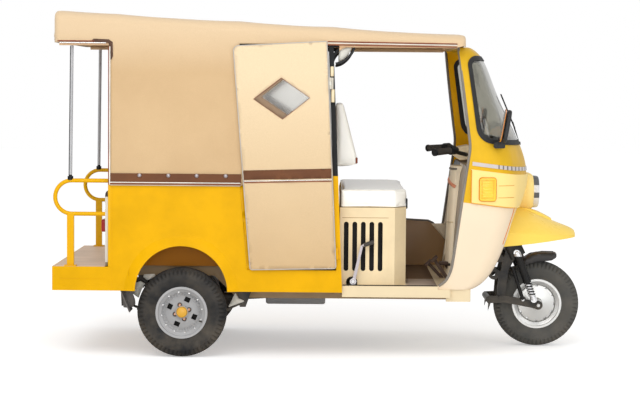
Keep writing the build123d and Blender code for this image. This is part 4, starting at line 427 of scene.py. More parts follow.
# Each finish and the CAD nodes that wear it; a node of a mirrored pair goes without its side.
FINISHES = {
    "chassis": "chassis_frame", "black": "rear_axle fork link_arm leaf_spring", "deck": "step_deck",
    "canvas": "canopy_cover", "strap": "hem_straps", "hinges": "door_hinges", "board": "bench_base",
    "vinyl_dark": "seat_rear seat_front backrest_rear backrest_front", "red": "tail_lamps", "silver": "exhaust",
    "cream": "cab_floor", "alu": "engine", "cast": "kick_lever", "vinyl_cream": "driver_seat driver_backrest",
    "shade_brown": "side_panel_left", "pedal": "pedals", "cream_light": "leg_shield", "lamp_yellow": "fascia",
    "chrome": "headlamp", "rubber": "windscreen_gasket", "glass": "windscreen", "black_plastic": "wiper mirror",
    "strut": "shock_absorbers", "guard": "front_mudguard", "tyre_front": "front_tyre", "tyre": "rear_tyre",
    "yellow": "side_rail", "canvas_door": "door", "film": "door_window", "flap": "mud_flap", "amber": "indicator",
}
# Nodes whose finish goes by their own name.
OWN_FINISH = "rear_tub canopy_frame engine_box cab_shell bright_strip dash beak handlebar front_rim rear_rim pole"
WEARS = {name: key for key, names in FINISHES.items() for name in names.split()}
WEARS.update({name: name for name in OWN_FINISH.split()})
for name, node in nodes.items():
    key = name if name in WEARS else name.rsplit("_", 1)[0]
    node.data.materials.clear()
    node.data.materials.append(M[WEARS[key]])
    node.modifiers.new("edges", "EDGE_SPLIT").split_angle = SMOOTH_ANGLE
    for polygon in node.data.polygons:
        polygon.use_smooth = True

# ---- stage, light and camera
corners = [(x * FLOOR_HALF, y * FLOOR_HALF, 0) for x, y in ((-1, -1), (1, -1), (1, 1), (-1, 1))]
floor_mesh = bpy.data.meshes.new("floor")
floor_mesh.from_pydata(corners, [], [(0, 1, 2, 3)])
floor = bpy.data.objects.new("floor", floor_mesh)
scene.collection.objects.link(floor)
fn = Nodes("pale_floor")
fn.set(Base_Color=(0.90, 0.90, 0.90, 1), Roughness=0.9, Specular_IOR_Level=0.05)
seen = fn.add("ShaderNodeLightPath").outputs["Is Camera Ray"]
fn.set(Emission_Color=(1.0, 1.0, 1.0, 1), Emission_Strength=fn.times(seen, FLOOR_GLOW))
floor_mesh.materials.append(fn.mat)

world = bpy.data.worlds.new("studio")
world.use_nodes = True
sky = world.node_tree.nodes["Background"]
sky.inputs["Color"].default_value = (1.0, 1.0, 1.0, 1)
camera_ray = world.node_tree.nodes.new("ShaderNodeLightPath").outputs["Is Camera Ray"]
level = world.node_tree.nodes.new("ShaderNodeMapRange")
level.inputs["To Min"].default_value = SKY_LIGHT
level.inputs["To Max"].default_value = 1.0
world.node_tree.links.new(camera_ray, level.inputs["Value"])
world.node_tree.links.new(level.outputs["Result"], sky.inputs["Strength"])
scene.world = world
scene.view_settings.view_transform = "Standard"


def area_light(name, location, target, size, power):
    data = bpy.data.lights.new(name, "AREA")
    data.shape = "RECTANGLE"
    data.size, data.size_y = size
    data.energy = power
    light = bpy.data.objects.new(name, data)
    light.location = location
    light.rotation_euler = (Vector(target) - Vector(location)).to_track_quat("-Z", "Y").to_euler()
    scene.collection.objects.link(light)


area_light("key", (-1.5, -5.0, 6.0), (0, 0, 0.8), (6, 4), 180)
area_light("front", (-0.4, -8.5, 1.8), (0.2, 0, 0.9), (5, 3), 150)
area_light("fill", (5.0, -6.0, 3.0), (0.5, 0, 0.8), (4, 4), 90)

camera_data = bpy.data.cameras.new("camera")
camera_data.lens = CAMERA_LENS
camera_data.sensor_width = CAMERA_SENSOR
camera = bpy.data.objects.new("camera", camera_data)
aim = Matrix.Rotation(CAMERA_YAW, 4, "Z") @ Matrix.Rotation(CAMERA_PITCH, 4, "X")
camera.matrix_world = Matrix.Translation(CAMERA_AT) @ aim @ Matrix.Rotation(CAMERA_ROLL, 4, "Z")
scene.collection.objects.link(camera)
scene.camera = camera


# ---- mesh helpers
def lerp(a, b, t):
    return a + (b - a) * t


def lean(low, high, z):
    """X at height z on the line through two (x, z) points."""
    return low[0] + (high[0] - low[0]) * (z - low[1]) / (high[1] - low[1])


def straight(start, end, steps):
    """Points along a straight line."""
    return [tuple(lerp(a, b, k / steps) for a, b in zip(start, end)) for k in range(steps + 1)]


def sides_of(loop):
    return zip(loop, loop[1:] + loop[:1])


def placed(obj, body):
    """Puts an object into the scene, riding on its body."""
    scene.collection.objects.link(obj)
    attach(obj, body)
    return obj


def link(name, mesh, material, body, smooth=True):
    mesh.materials.append(M[material])
    if smooth:
        for polygon in mesh.polygons:
            polygon.use_smooth = True
    return placed(bpy.data.objects.new(name, mesh), body)


def from_data(name, verts, faces, material, body, smooth=True):
    mesh = bpy.data.meshes.new(name)
    mesh.from_pydata(verts, [], faces)
    mesh.update()
    return link(name, mesh, material, body, smooth)


def from_bmesh(name, bm, material, body):
    mesh = bpy.data.meshes.new(name)
    bm.to_mesh(mesh)
    bm.free()
    return link(name, mesh, material, body)


def mended(obj, weld=None):
    """Turns all faces outwards, after a weld if asked, and returns the area."""
    bm = bmesh.new()
    bm.from_mesh(obj.data)
    if weld:
        bmesh.ops.remove_doubles(bm, verts=bm.verts, dist=weld)
    bmesh.ops.recalc_face_normals(bm, faces=bm.faces)
    bm.to_mesh(obj.data)
    area = sum(f.calc_area() for f in bm.faces)
    bm.free()
    return area


def modifier(obj, kind, **values):
    m = obj.modifiers.new(kind.lower(), kind)
    for key, value in values.items():
        setattr(m, key, value)


def tube(name, points, radius, material, body="vehicle", closed=False, smooth=False):
    """A round cord, piping or wire along points."""
    curve = bpy.data.curves.new(name, "CURVE")
    curve.dimensions = "3D"
    curve.bevel_depth = radius
    curve.bevel_resolution = 3
    curve.use_fill_caps = True
    spline = curve.splines.new("NURBS" if smooth else "POLY")
    spline.points.add(len(points) - 1)
    for target, point in zip(spline.points, points):
        target.co = (*point, 1)
    spline.use_cyclic_u = closed
    if smooth:
        spline.order_u = 3
        spline.use_endpoint_u = not closed
        curve.resolution_u = 6
    curve.materials.append(M[material])
    return placed(bpy.data.objects.new(name, curve), body)


def rounded_box(name, low, high, edge, material, body="vehicle"):
    """A box with rounded edges, for small blocks and fittings."""
    bm = bmesh.new()
    bmesh.ops.create_cube(bm, size=1.0)
    for v in bm.verts:
        v.co = [lerp(low[i], high[i], v.co[i] + 0.5) for i in range(3)]
    bmesh.ops.bevel(bm, geom=list(bm.edges), offset=edge, segments=3, profile=0.5, affect="EDGES")
    return from_bmesh(name, bm, material, body)


def turned(name, profile, centre, direction, material, body="vehicle", segments=48, sharp=40):
    """A turned piece: profile holds (distance along the axis, radius) pairs."""
    bm = bmesh.new()
    rings = []
    for along, radius in profile:
        if radius < 1e-6:
            rings.append([bm.verts.new((0, 0, along))] * segments)
            continue
        angles = [2 * pi * i / segments for i in range(segments)]
        rings.append([bm.verts.new((radius * cos(a), radius * sin(a), along)) for a in angles])
    for a, b in zip(rings, rings[1:]):
        for i in range(segments):
            j = (i + 1) % segments
            corners = list(dict.fromkeys((a[i], a[j], b[j], b[i])))
            if len(corners) > 2:
                bm.faces.new(corners)
    bmesh.ops.recalc_face_normals(bm, faces=bm.faces)
    turn = Vector(direction).to_track_quat("Z", "Y").to_matrix().to_4x4()
    bm.transform(Matrix.Translation(centre) @ turn)
    obj = from_bmesh(name, bm, material, body)
    modifier(obj, "EDGE_SPLIT", split_angle=radians(sharp))
    return obj


def at_side(sign, y):
    """Places a panel's (x, z) outline on one side of the vehicle."""
    return lambda u, v, h: (u, sign * (y + h), v)


def panel(name, outline, spacing, place, thickness, material, body="vehicle", puff=None, holes=()):
    """A flat or slightly wavy sheet from a 2-D outline with holes; place maps (u, v, height) to a point."""
    def densify(loop):
        out = []
        for a, b in sides_of(loop):
            steps = max(1, ceil(hypot(b[0] - a[0], b[1] - a[1]) / spacing))
            out += [(lerp(a[0], b[0], k / steps), lerp(a[1], b[1], k / steps)) for k in range(steps)]
        return out

    def inside(p, loop):
        hit = False
        for (x1, y1), (x2, y2) in sides_of(loop):
            if (y1 > p[1]) != (y2 > p[1]) and p[0] < (x2 - x1) * (p[1] - y1) / (y2 - y1) + x1:
                hit = not hit
        return hit

    def on_sheet(p):
        return inside(p, loops[0]) and not any(inside(p, h) for h in loops[1:])

    def to_edge(p):
        best = 9.0
        for loop in (outline, *holes):
            for a, b in sides_of(loop):
                d = Vector(b) - Vector(a)
                t = max(0, min(1, (Vector(p) - Vector(a)).dot(d) / max(d.length_squared, 1e-12)))
                best = min(best, (Vector(a) + d * t - Vector(p)).length)
        return best

    loops = [densify(list(loop)) for loop in (outline, *holes)]
    points, edges = [], []
    for loop in loops:
        start = len(points)
        points += loop
        edges += [(start + i, start + (i + 1) % len(loop)) for i in range(len(loop))]
    us, vs = [p[0] for p in outline], [p[1] for p in outline]
    u = min(us) + spacing / 2
    while u < max(us):
        v = min(vs) + spacing / 2
        while v < max(vs):
            if on_sheet((u, v)) and to_edge((u, v)) > spacing * 0.45:
                points.append((u, v))
            v += spacing
        u += spacing
    got = delaunay_2d_cdt([Vector(p) for p in points], edges, [], 0, 1e-6)
    flat = [tuple(p) for p in got[0]]
    kept = [list(face) for face in got[2] if on_sheet(tuple(sum(flat[i][k] for i in face) / 3 for k in (0, 1)))]
    verts = [place(*p, puff(*p, to_edge(p)) if puff else 0.0) for p in flat]
    obj = from_data(name, verts, kept, material, body)
    mended(obj)
    modifier(obj, "SOLIDIFY", thickness=thickness, offset=0)
    return obj


# ---- wheels
def on_wheel(radius, angle, y):
    """Point round a rear wheel's axle."""
    return REAR_AXLE_X + radius * cos(angle), y, WHEEL_R + radius * sin(angle)


def tyre(name, centre, body, material="tyre"):
    """Cross-ply tyre: three ribs with zigzag grooves, shoulder blocks, side-wall rings and a bead."""
    segments, pitches = 180, 60
    groove_depth, groove_at, zigzag = 0.006, (0.0130, 0.0325), 0.0032
    block_depth, block_width = 0.0062, 0.0042
    crown, shoulder = TYRE_HALF_W - 0.016, TYRE_HALF_W - 0.006
    wall = ((0.047, -0.008), (0.0485, 0.003), (0.052, 0.014), (0.0535, 0.0165), (0.0565, 0.032), (0.0595, 0.048),
            (0.0596, 0.052), (0.0585, 0.060), (0.0588, 0.063), (0.0565, 0.073))
    tread = ((shoulder, 0.019), (0.051, 0.013), (crown, 0.006), (0.039, 0.0045), (0.034, 0.0034), (0.031, 0.003),
             (0.026, 0.0022), (0.019, 0.0013), (0.0145, 0.0008), (0.0115, 0.0005), (0.006, 0.0001), (0.0, 0.0))
    profile = [(a, RIM_R + up) for a, up in wall] + [(a, WHEEL_R - down) for a, down in tread]
    rings = [(-a, r) for a, r in profile] + [(a, r) for a, r in reversed(profile[:-1])]
    verts, faces = [], []
    for i in range(segments):
        turn = 2 * pi * i / segments
        tooth = abs(((i * pitches / segments) % 1.0) * 2 - 1)
        for a, r in rings:
            depth = shift = block = 0.0
            for at in groove_at:
                if abs(abs(a) - at) < 0.0022:
                    depth = groove_depth
                if abs(abs(a) - at) < 0.0066:
                    shift = (tooth - 0.5) * zigzag
            if abs(a) > crown - 0.004 and r > RIM_R + 0.070 and i % 3 == 0:
                depth, block = block_depth, block_width
            y = centre[1] + a + (shift - block) * (1 if a > 0 else -1)
            radius = r - depth
            verts.append((centre[0] + radius * sin(turn), y, WHEEL_R + radius * cos(turn)))
    count = len(rings)
    for i in range(segments):
        k = (i + 1) % segments
        faces += [(i * count + j, i * count + j + 1, k * count + j + 1, k * count + j) for j in range(count - 1)]
    obj = from_data(name, verts, faces, material, body)
    mended(obj)
    modifier(obj, "EDGE_SPLIT", split_angle=radians(35))
    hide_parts(name.replace("_tread", ""))


for side, sign in SIDES.items():
    tyre(f"rear_tyre_{side}_tread", (REAR_AXLE_X, sign * TRACK_HALF), f"wheel_{side}")
tyre("front_tyre_tread", (FRONT_AXLE_X, 0.0), "front_wheel", "tyre_front")

# Turned profiles as (distance along the axis, radius) pairs.
HUB_CAP = ((0, 0.030), (0.004, 0.030), (0.010, 0.026), (0.016, 0.0255), (0.019, 0.020), (0.0205, 0.0))
NUT_SEAT = ((-0.002, 0.0), (-0.002, 0.0128), (0.0035, 0.0128), (0.0040, 0.0105), (0.0012, 0.0100), (0.0012, 0.0))
WHEEL_NUT = ((-0.001, 0.0082), (0.007, 0.0082), (0.0085, 0.006), (0.015, 0.0045), (0.0155, 0.0))
RIM_BOLT = ((-0.006, 0.0055), (0.003, 0.0055), (0.004, 0.0045), (0.004, 0.0))
STUD = ((-0.001, 0.011), (0.0015, 0.011), (0.0045, 0.0085), (0.0065, 0.005), (0.0072, 0.0))
KNUCKLE = ((-0.0095, 0.0), (-0.0095, 0.0058), (0.0095, 0.0058), (0.0095, 0.0))
GAITER = ((0.0, 0.020), (0.004, 0.016), (0.008, 0.0175), (0.012, 0.0145), (0.016, 0.016), (0.022, 0.0125))
KICK_NUT = ((0.0, 0.009), (0.007, 0.009), (0.007, 0.0045), (0.011, 0.0045), (0.011, 0.0))
RAIL_HOLE = ((-0.001, 0.0), (-0.001, 0.0135), (0.0015, 0.0135), (0.0022, 0.0115), (0.0004, 0.0105), (0.0004, 0.0))
FRONT_BOLT = ((-0.004, 0.0105), (0.004, 0.0105), (0.005, 0.0085), (0.009, 0.0085), (0.0100, 0.0070), (0.0100, 0.0))
NUT_CIRCLE, BOLT_CIRCLE = 0.039, 0.1075
RIB_COUNT = 40

for side, sign in SIDES.items():
    y, out, wheel = sign * TRACK_HALF, (0, sign, 0), f"wheel_{side}"
    turned(f"hub_cap_{side}", HUB_CAP, (REAR_AXLE_X, y + sign * 0.023, WHEEL_R), out, "gold", wheel)
    for k in range(4):
        at = on_wheel(NUT_CIRCLE, radians(18 + 90 * k), y + sign * 0.010)
        turned(f"nut_seat_{side}_{k}", NUT_SEAT, at, out, "iron", wheel, segments=24)
        turned(f"wheel_nut_{side}_{k}", WHEEL_NUT, at, out, "copper", wheel, segments=6, sharp=20)
    for k in range(12):
        at = on_wheel(BOLT_CIRCLE, radians(9 + 30 * k), y + sign * 0.0245)
        turned(f"rim_bolt_{side}_{k}", RIM_BOLT, at, out, "bright_trim", wheel, segments=6, sharp=20)
    # Low cast ribs that fan out between the slots and the rim.
    verts, faces = [], []
    for k in range(RIB_COUNT):
        for turn, lift in ((-0.014, 0.0), (0.014, 0.0), (0.0, 0.0026)):
            for radius, base in ((0.084, 0.0055), (0.1035, 0.0050)):
                verts.append(on_wheel(radius, 2 * pi * k / RIB_COUNT + turn, y + sign * (base + lift)))
        o = 6 * k
        faces += [(o, o + 1, o + 5, o + 4), (o + 4, o + 5, o + 3, o + 2), (o, o + 4, o + 2), (o + 1, o + 3, o + 5),
                  (o, o + 2, o + 3, o + 1)]
    from_data(f"wheel_ribs_{side}", verts, faces, "silver", wheel, smooth=False)
    valve = [on_wheel(radius, radians(-25), y + sign * lift) for radius, lift in ((0.117, 0.030), (0.103, 0.050))]
    tube(f"valve_{side}", valve, 0.0035, "rubber", wheel)


# ---- canopy
def roof_line(x):
    return ROOF_REAR_Z - (x - ROOF_REAR_X) * tan(ROOF_SLOPE)


def roof_stations():
    """(x, highest z) columns of the sheet: up the rear end, along the crown and down the front end."""
    rear_r, front_r, front_low = 0.046, 0.034, 1.648
    rear_top = roof_line(ROOF_REAR_X) + ROOF_CROWN - rear_r
    front_top = roof_line(ROOF_FRONT_X) + ROOF_CROWN - front_r
    stations = [(ROOF_REAR_X, lerp(ROOF_EDGE_Z, rear_top, k / 8)) for k in range(8)]
    for k in range(9):
        a = pi / 2 * k / 8
        x = ROOF_REAR_X + rear_r * (1 - cos(a))
        stations.append((x, roof_line(x) + ROOF_CROWN - rear_r * (1 - sin(a))))
    marks = [ROOF_REAR_X + rear_r, CANVAS_REAR_X, SKIRT_FRONT_HIGH[0], ROOF_FRONT_X - front_r]
    for a, b, steps in zip(marks, marks[1:], (14, 40, 64)):
        columns = [lerp(a, b, k / steps) for k in range(1, steps + 1)]
        stations += [(x, roof_line(x) + ROOF_CROWN) for x in columns]
    for k in range(1, 8):
        a = pi / 2 * k / 8
        x = ROOF_FRONT_X - front_r * (1 - sin(a))
        stations.append((x, roof_line(x) + ROOF_CROWN - front_r * (1 - cos(a))))
    return stations + [(ROOF_FRONT_X, lerp(front_top, front_low, k / 4)) for k in range(5)]


def eaves_z(x):
    """Lower edge of the sheet's side."""
    if x < SKIRT_FRONT_HIGH[0] - 1e-6:
        return ROOF_EDGE_Z
    if x < BOW_X[-1]:
        return lerp(ROOF_EDGE_Z, ROOF_EDGE_FRONT_Z, (x + 0.445) / 1.135)
    return lerp(ROOF_EDGE_FRONT_Z, 1.647, min(1, (x - BOW_X[-1]) / 0.024))


def half_width(x):
    """Half width of the roof, less where its plan corners are rounded."""
    corner_r = 0.030
    d = min(x - ROOF_REAR_X, ROOF_FRONT_X - x)
    pull = 0.0 if d > corner_r else corner_r - sqrt(max(0.0, corner_r**2 - (corner_r - d) ** 2))
    return CANVAS_HALF_W - pull


def sag(x):
    """Slack between two bows, and none over a bow."""
    for a, b in zip(BOW_X, BOW_X[1:]):
        if a < x < b:
            return 0.007 * min(1, (b - a) / 0.6) * sin(pi * (x - a) / (b - a)) ** 0.8
    return 0.0


def canopy():
    """One continuous stretched sheet: crowned roof, both ends, side valances and the side curtains."""
    shoulder_r, rows_up, rows_round, rows_top, depth = 0.058, 8, 8, 26, 30
    stations = roof_stations()
    verts, faces, index = [], [], {}

    def put(key, point):
        index[key] = len(verts)
        verts.append(point)

    for s, (x, high) in enumerate(stations):
        half, shoulder = half_width(x), roof_line(x)
        rise = [(half, lerp(eaves_z(x), shoulder - shoulder_r, k / rows_up)) for k in range(rows_up)]
        for k in range(rows_round + 1):
            a = pi / 2 * k / rows_round
            rise.append((half - shoulder_r * (1 - cos(a)), shoulder - shoulder_r * (1 - sin(a))))
        inner = half - shoulder_r
        across = [lerp(inner, -inner, k / rows_top) for k in range(1, rows_top + 1)]
        run = rise + [(y, shoulder + ROOF_CROWN * (1 - (y / inner) ** 2)) for y in across]
        run += [(-y, z) for y, z in reversed(rise[:-1])]
        slack = sag(x)
        for r, (y, z) in enumerate(run):
            gap = high - z
            z = min(z, high) if abs(gap) > 0.012 else z - (0.012 - gap) ** 2 / 0.048
            on_top = max(0.0, min(1.0, (z - shoulder + 0.04) / 0.05))
            ripple = noise.noise(Vector((x * 5.0, y * 5.0, 0.3))) * 0.0016
            z -= on_top * (slack * (1 - 0.25 * (y / half) ** 2) + ripple)
            inwards = 0.0 if on_top > 0 else slack * 0.5 + noise.noise(Vector((x * 9.0, z * 4.0, y))) * 0.0012
            put((s, r), (x, y - (inwards if y > 0 else -inwards), z))
    rows = len(run)
    for s in range(len(stations) - 1):
        for r in range(rows - 1):
            faces.append((index[s, r], index[s, r + 1], index[s + 1, r + 1], index[s + 1, r]))
    # Side curtains hang from the same columns.
    first, last = (next(i for i, (x, _) in enumerate(stations) if abs(x - edge) < 1e-6)
                   for edge in (CANVAS_REAR_X, SKIRT_FRONT_HIGH[0]))
    for side_row, y_sign in ((0, 1), (rows - 1, -1)):
        for s in range(first, last + 1):
            t = (stations[s][0] - CANVAS_REAR_X) / (SKIRT_FRONT_HIGH[0] - CANVAS_REAR_X)
            index["c", side_row, s, 0] = index[s, side_row]
            for d in range(1, depth + 1):
                down = d / depth
                z = lerp(ROOF_EDGE_Z, CANVAS_HEM_Z, down)
                x = lerp(CANVAS_REAR_X, lean(SKIRT_FRONT_LOW, SKIRT_FRONT_HIGH, z), t)
                soft = min(1.0, min(t, 1 - t, down * 0.8 + 0.02, 1 - down + 0.02) * 9)
                fold = 0.0035 * noise.noise(Vector((x * 6.0, z * 2.2, 3.0 * y_sign)))
                fold += 0.0022 * sin(x * 31 + 1.2 * sin(z * 5)) * down
                belly = -0.006 * sin(pi * t) * sin(pi * down)
                put(("c", side_row, s, d), (x, y_sign * (CANVAS_HALF_W - 0.002 + soft * (fold + belly)), z))
        for s in range(first, last):
            for d in range(depth):
                corners = ((s, d), (s + 1, d), (s + 1, d + 1), (s, d + 1))
                faces.append([index["c", side_row, q, e] for q, e in corners])
    obj = from_data("canopy_sheet", verts, faces, "canvas", "vehicle")
    area = mended(obj, weld=0.0004)
    modifier(obj, "SOLIDIFY", thickness=0.003, offset=-1)
    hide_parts("canopy_cover")
    return obj, area


canopy_sheet, canopy_area = canopy()

# Brown leathercloth patch that wraps the corner between the eaves and the curtain.
PATCH = [(-1.215, 1.662), (-1.205, 1.672), (-1.125, 1.669), (-1.105, 1.655), (-1.104, 1.582), (-1.111, 1.566),
         (-1.120, 1.566), (-1.121, 1.640), (-1.128, 1.651), (-1.160, 1.653), (-1.205, 1.654)]
STRAP_STUD_X, STRAP_Z = (-0.964, -0.813, -0.665, -0.513), 0.962
STRAP_PIPING = ((0.9245, 0.0026, "white_piping"), (0.9175, 0.0026, "brown_piping"), (0.9105, 0.0022, "edge_piping"))
VALANCE_PIPING = ((0.0, 0.0030, "brown_piping"), (0.009, 0.0026, "white_piping"), (0.016, 0.0030, "brown_piping"))

for side, sign in SIDES.items():
    y, out = sign * CANVAS_HALF_W, (0, sign, 0)
    lip, hem_y, strap_y = y + sign * 0.0008, y + sign * 0.001, sign * (CANVAS_HALF_W + 0.0026)
    rear = straight((CANVAS_REAR_X, hem_y, CANVAS_HEM_Z), (CANVAS_REAR_X, hem_y, ROOF_EDGE_Z - 0.02), 10)
    tube(f"curtain_piping_{side}", rear, 0.0032, "white_piping")
    cord = [(x - 0.006, yy - sign * 0.002, z) for x, yy, z in rear]
    tube(f"curtain_cord_{side}", cord, 0.0026, "brown_piping")
    z = ROOF_EDGE_Z - 0.001
    eaves = straight((ROOF_REAR_X + 0.03, y, z), (CANVAS_REAR_X - 0.02, y, z), 8)
    tube(f"eaves_trim_{side}", eaves, 0.0036, "bright_trim")
    z = ROOF_EDGE_Z + 0.0075
    tube(f"eaves_hem_{side}", straight((ROOF_REAR_X + 0.02, hem_y, z), (-1.20, hem_y, z), 8), 0.0034, "brown_piping")
    panel(f"corner_patch_{side}", PATCH, 0.012, at_side(sign, CANVAS_HALF_W + 0.0015), 0.002, "canvas_dark")
    for index, (rise, radius, kind) in enumerate(VALANCE_PIPING):
        line = straight((0.014, lip, ROOF_EDGE_Z - 0.0018 + rise), (0.688, lip, ROOF_EDGE_FRONT_Z + 0.003 + rise), 20)
        tube(f"valance_piping_{side}_{index}", line, radius, kind)
    for index, x in enumerate(STRAP_STUD_X):
        at = (x, sign * (CANVAS_HALF_W + 0.0032), STRAP_Z)
        turned(f"strap_stud_{side}_{index}", STUD, at, out, "cast", segments=20)
    for index, (z, radius, kind) in enumerate(STRAP_PIPING):
        tube(f"strap_piping_{side}_{index}", [(-1.118, strap_y, z), (-0.436, strap_y, z)], radius, kind)


# ---- doors
def rounded_loop(corners, radii, steps=7):
    """Outline through the corners, each rounded by its own radius."""
    out = []
    count = len(corners)
    for i, corner in enumerate(corners):
        p, a, b = Vector(corner), Vector(corners[i - 1]), Vector(corners[(i + 1) % count])
        to_a, to_b = (a - p).normalized(), (b - p).normalized()
        half = to_a.angle(to_b) / 2
        start, end = p + to_a * radii[i] / tan(half), p + to_b * radii[i] / tan(half)
        centre = p + (to_a + to_b).normalized() * radii[i] / sin(half)
        for k in range(steps + 1):
            v = (start - centre).lerp(end - centre, k / steps)
            out.append(tuple(centre + v.normalized() * radii[i]))
    return out


def loop_area(loop):
    return abs(sum((a[0] * b[1] - b[0] * a[1]) / 2 for a, b in sides_of(loop)))


def rear_edge(z):
    return lean(DOOR_CORNERS[3], DOOR_CORNERS[0], z)


def front_edge(z):
    return lean(DOOR_CORNERS[2], DOOR_CORNERS[1], z)


RAIL_Z, HINGE_Z = 0.945, (0.560, 1.450)
JAMB_LOW, JAMB_HIGH, JAMB_Y = 0.462, 0.918, 0.6335


def door(side, sign):
    """Stretched canvas cover on a tube frame, with its window, bands, piping and hinge knuckles."""
    body = f"door_{side}"
    outline = rounded_loop(DOOR_CORNERS, (0.026, 0.006, 0.012, 0.012))
    at_face = at_side(sign, DOOR_FACE + DOOR_T - 0.0022)

    def puff(u, v, edge):
        soft = min(1.0, edge / 0.07)
        wave = 0.0022 * noise.noise(Vector((u * 7.0, v * 3.5, 5.0 * sign)))
        return soft * (wave + 0.0012 * sin(u * 24 + v * 3)) - 0.0008 * soft

    cover = panel(f"door_cover_{side}", outline, 0.020, at_face, 0.0032, "canvas_door", body, puff,
                  [list(DIAMOND)])
    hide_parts(f"door_{side}")
    area = loop_area(outline) - loop_area(DIAMOND)
    # Tube frame behind the cover, with a cross rail.
    y = sign * (DOOR_FACE + 0.0019)
    inset = [(u + (0.012 if u < 0 else -0.012), v + (0.012 if v < 1 else -0.012)) for u, v in DOOR_CORNERS]
    frame_loop = [(u, y, v) for u, v in rounded_loop(inset, (0.03, 0.02, 0.02, 0.02))]
    tube(f"door_frame_{side}", frame_loop, 0.0021, "black", body, closed=True)
    rail = [(rear_edge(RAIL_Z) + 0.01, y, RAIL_Z), (front_edge(RAIL_Z) - 0.01, y, RAIL_Z)]
    tube(f"door_rail_{side}", rail, 0.0021, "black", body)
    tube(f"door_piping_{side}", [at_face(u, v, 0.0010) for u, v in outline], 0.0026, "edge_piping", body, closed=True)
    # Middle knuckle and leaf of each hinge.
    y = sign * (DOOR_FACE + 0.004)
    for index, z in enumerate(HINGE_Z):
        x, kind = front_edge(z) + 0.009, "yellow" if z < 0.9 else "bracket"
        axis = Vector((-0.048, 0, 0.99885))
        turned(f"door_knuckle_{side}_{index}", KNUCKLE, (x, y, z), axis, kind, body, segments=24)
        low, high = (x - 0.020, y - 0.002, z - 0.009), (x - 0.004, y + 0.002, z + 0.009)
        rounded_box(f"door_leaf_{side}_{index}", low, high, 0.001, kind, body)
    # Brown band across the door, with bright piping below it, and the window's brown binding.
    band = [(rear_edge(0.943) + 0.004, 0.943), (front_edge(0.955) - 0.004, 0.955),
            (front_edge(1.006) - 0.004, 1.006), (rear_edge(0.992) + 0.004, 0.992)]
    panel(f"door_band_{side}", band, 0.02, lambda u, v, h: at_face(u, v, 0.0022 + h), 0.0012, "strap", body)
    for index, (rear, front, kind) in enumerate(((0.9285, 0.9400, "brown_piping"), (0.9360, 0.9478, "bright_trim"))):
        ends = [at_face(rear_edge(rear) + 0.004, rear, 0.0026), at_face(front_edge(front) - 0.004, front, 0.0026)]
        tube(f"door_line_{side}_{index}", ends, 0.0024, kind, body)
    binding = [at_face(u, v, 0.0012) for u, v in DIAMOND]
    tube(f"window_binding_{side}", binding, 0.0016, "brown_piping", body, closed=True)
    # Inner edge of the cover, seen through the window along its rear and lower edges, in a darker tan as painted shade.
    west, north, south = min(DIAMOND), max(DIAMOND, key=lambda p: p[1]), min(DIAMOND, key=lambda p: p[1])
    hem = [west, north, (north[0] + 0.008, north[1] - 0.010), (west[0] + 0.042, west[1] + 0.012),
           (south[0] + 0.027, south[1] + 0.023), south]
    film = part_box(f"door_window_{side}")
    hem_y = max(abs(film[0].y), abs(film[1].y)) + 0.0006
    panel(f"window_edge_shade_{side}", hem, 0.02, at_side(sign, hem_y), 0.0008, "hem", body)
    # Painted jamb behind the rear edge of the doorway.
    jamb = [(rear_edge(JAMB_LOW) - 0.050, JAMB_LOW), (rear_edge(JAMB_LOW) + 0.014, JAMB_LOW),
            (rear_edge(JAMB_HIGH) + 0.014, JAMB_HIGH), (rear_edge(JAMB_HIGH) - 0.050, JAMB_HIGH)]
    panel(f"door_jamb_{side}", jamb, 0.05, at_side(sign, JAMB_Y), 0.003, "yellow")


for side, sign in SIDES.items():
    door(side, sign)


# ---- cushions
def apply_modifiers(obj):
    """Bakes an object's modifiers into its own mesh."""
    graph = bpy.context.evaluated_depsgraph_get()
    done = bpy.data.meshes.new_from_object(obj.evaluated_get(graph))
    obj.modifiers.clear()
    obj.data = done


def swell(obj, pressure):
    """Blows the cover up with cloth pressure for a few frames."""
    cloth = obj.modifiers.new("cloth", "CLOTH")
    for key, value in dict(quality=4, mass=0.3, tension_stiffness=14, compression_stiffness=14, shear_stiffness=6,
                           bending_stiffness=1.0, use_pressure=True, uniform_pressure_force=pressure).items():
        setattr(cloth.settings, key, value)
    cloth.settings.effector_weights.gravity = 0
    cloth.point_cache.frame_start = 1
    cloth.point_cache.frame_end = CLOTH_FRAMES
    for f in range(1, CLOTH_FRAMES + 1):
        scene.frame_set(f)
    apply_modifiers(obj)
    scene.frame_set(1)


def soft_pad(node, body, material, voxel, pressure, cap, shrink, groove=None):
    """A stuffed cover that starts a little inside its solid and swells by cloth pressure."""
    low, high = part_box(node)
    mesh = nodes[node].data.copy()
    obj = bpy.data.objects.new(f"{node}_pad", mesh)
    scene.collection.objects.link(obj)
    middle = (low + high) / 2
    for v in mesh.vertices:
        for i in range(3):
            size = high[i] - low[i]
            v.co[i] = middle[i] + (v.co[i] - middle[i]) * (size - 2 * shrink) / size
    modifier(obj, "REMESH", mode="VOXEL", voxel_size=voxel)
    apply_modifiers(obj)
    rest = [v.co.copy() for v in obj.data.vertices]
    swell(obj, pressure)
    mesh = obj.data
    for v, start in zip(mesh.vertices, rest):
        move = v.co - start
        if move.length > cap:
            move = move.normalized() * cap
        v.co = start + move
        for i in range(3):
            spare = 0.0 if i == 2 else PAD_SPARE
            v.co[i] = max(low[i] - spare, min(high[i] + spare, v.co[i]))
        if groove:
            v.co = groove(v.co.copy(), low, high)
    mesh.materials.clear()
    mesh.materials.append(M[material])
    for polygon in mesh.polygons:
        polygon.use_smooth = True
    modifier(obj, "SUBSURF", levels=1, render_levels=1)
    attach(obj, body)
    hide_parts(node)
    return obj


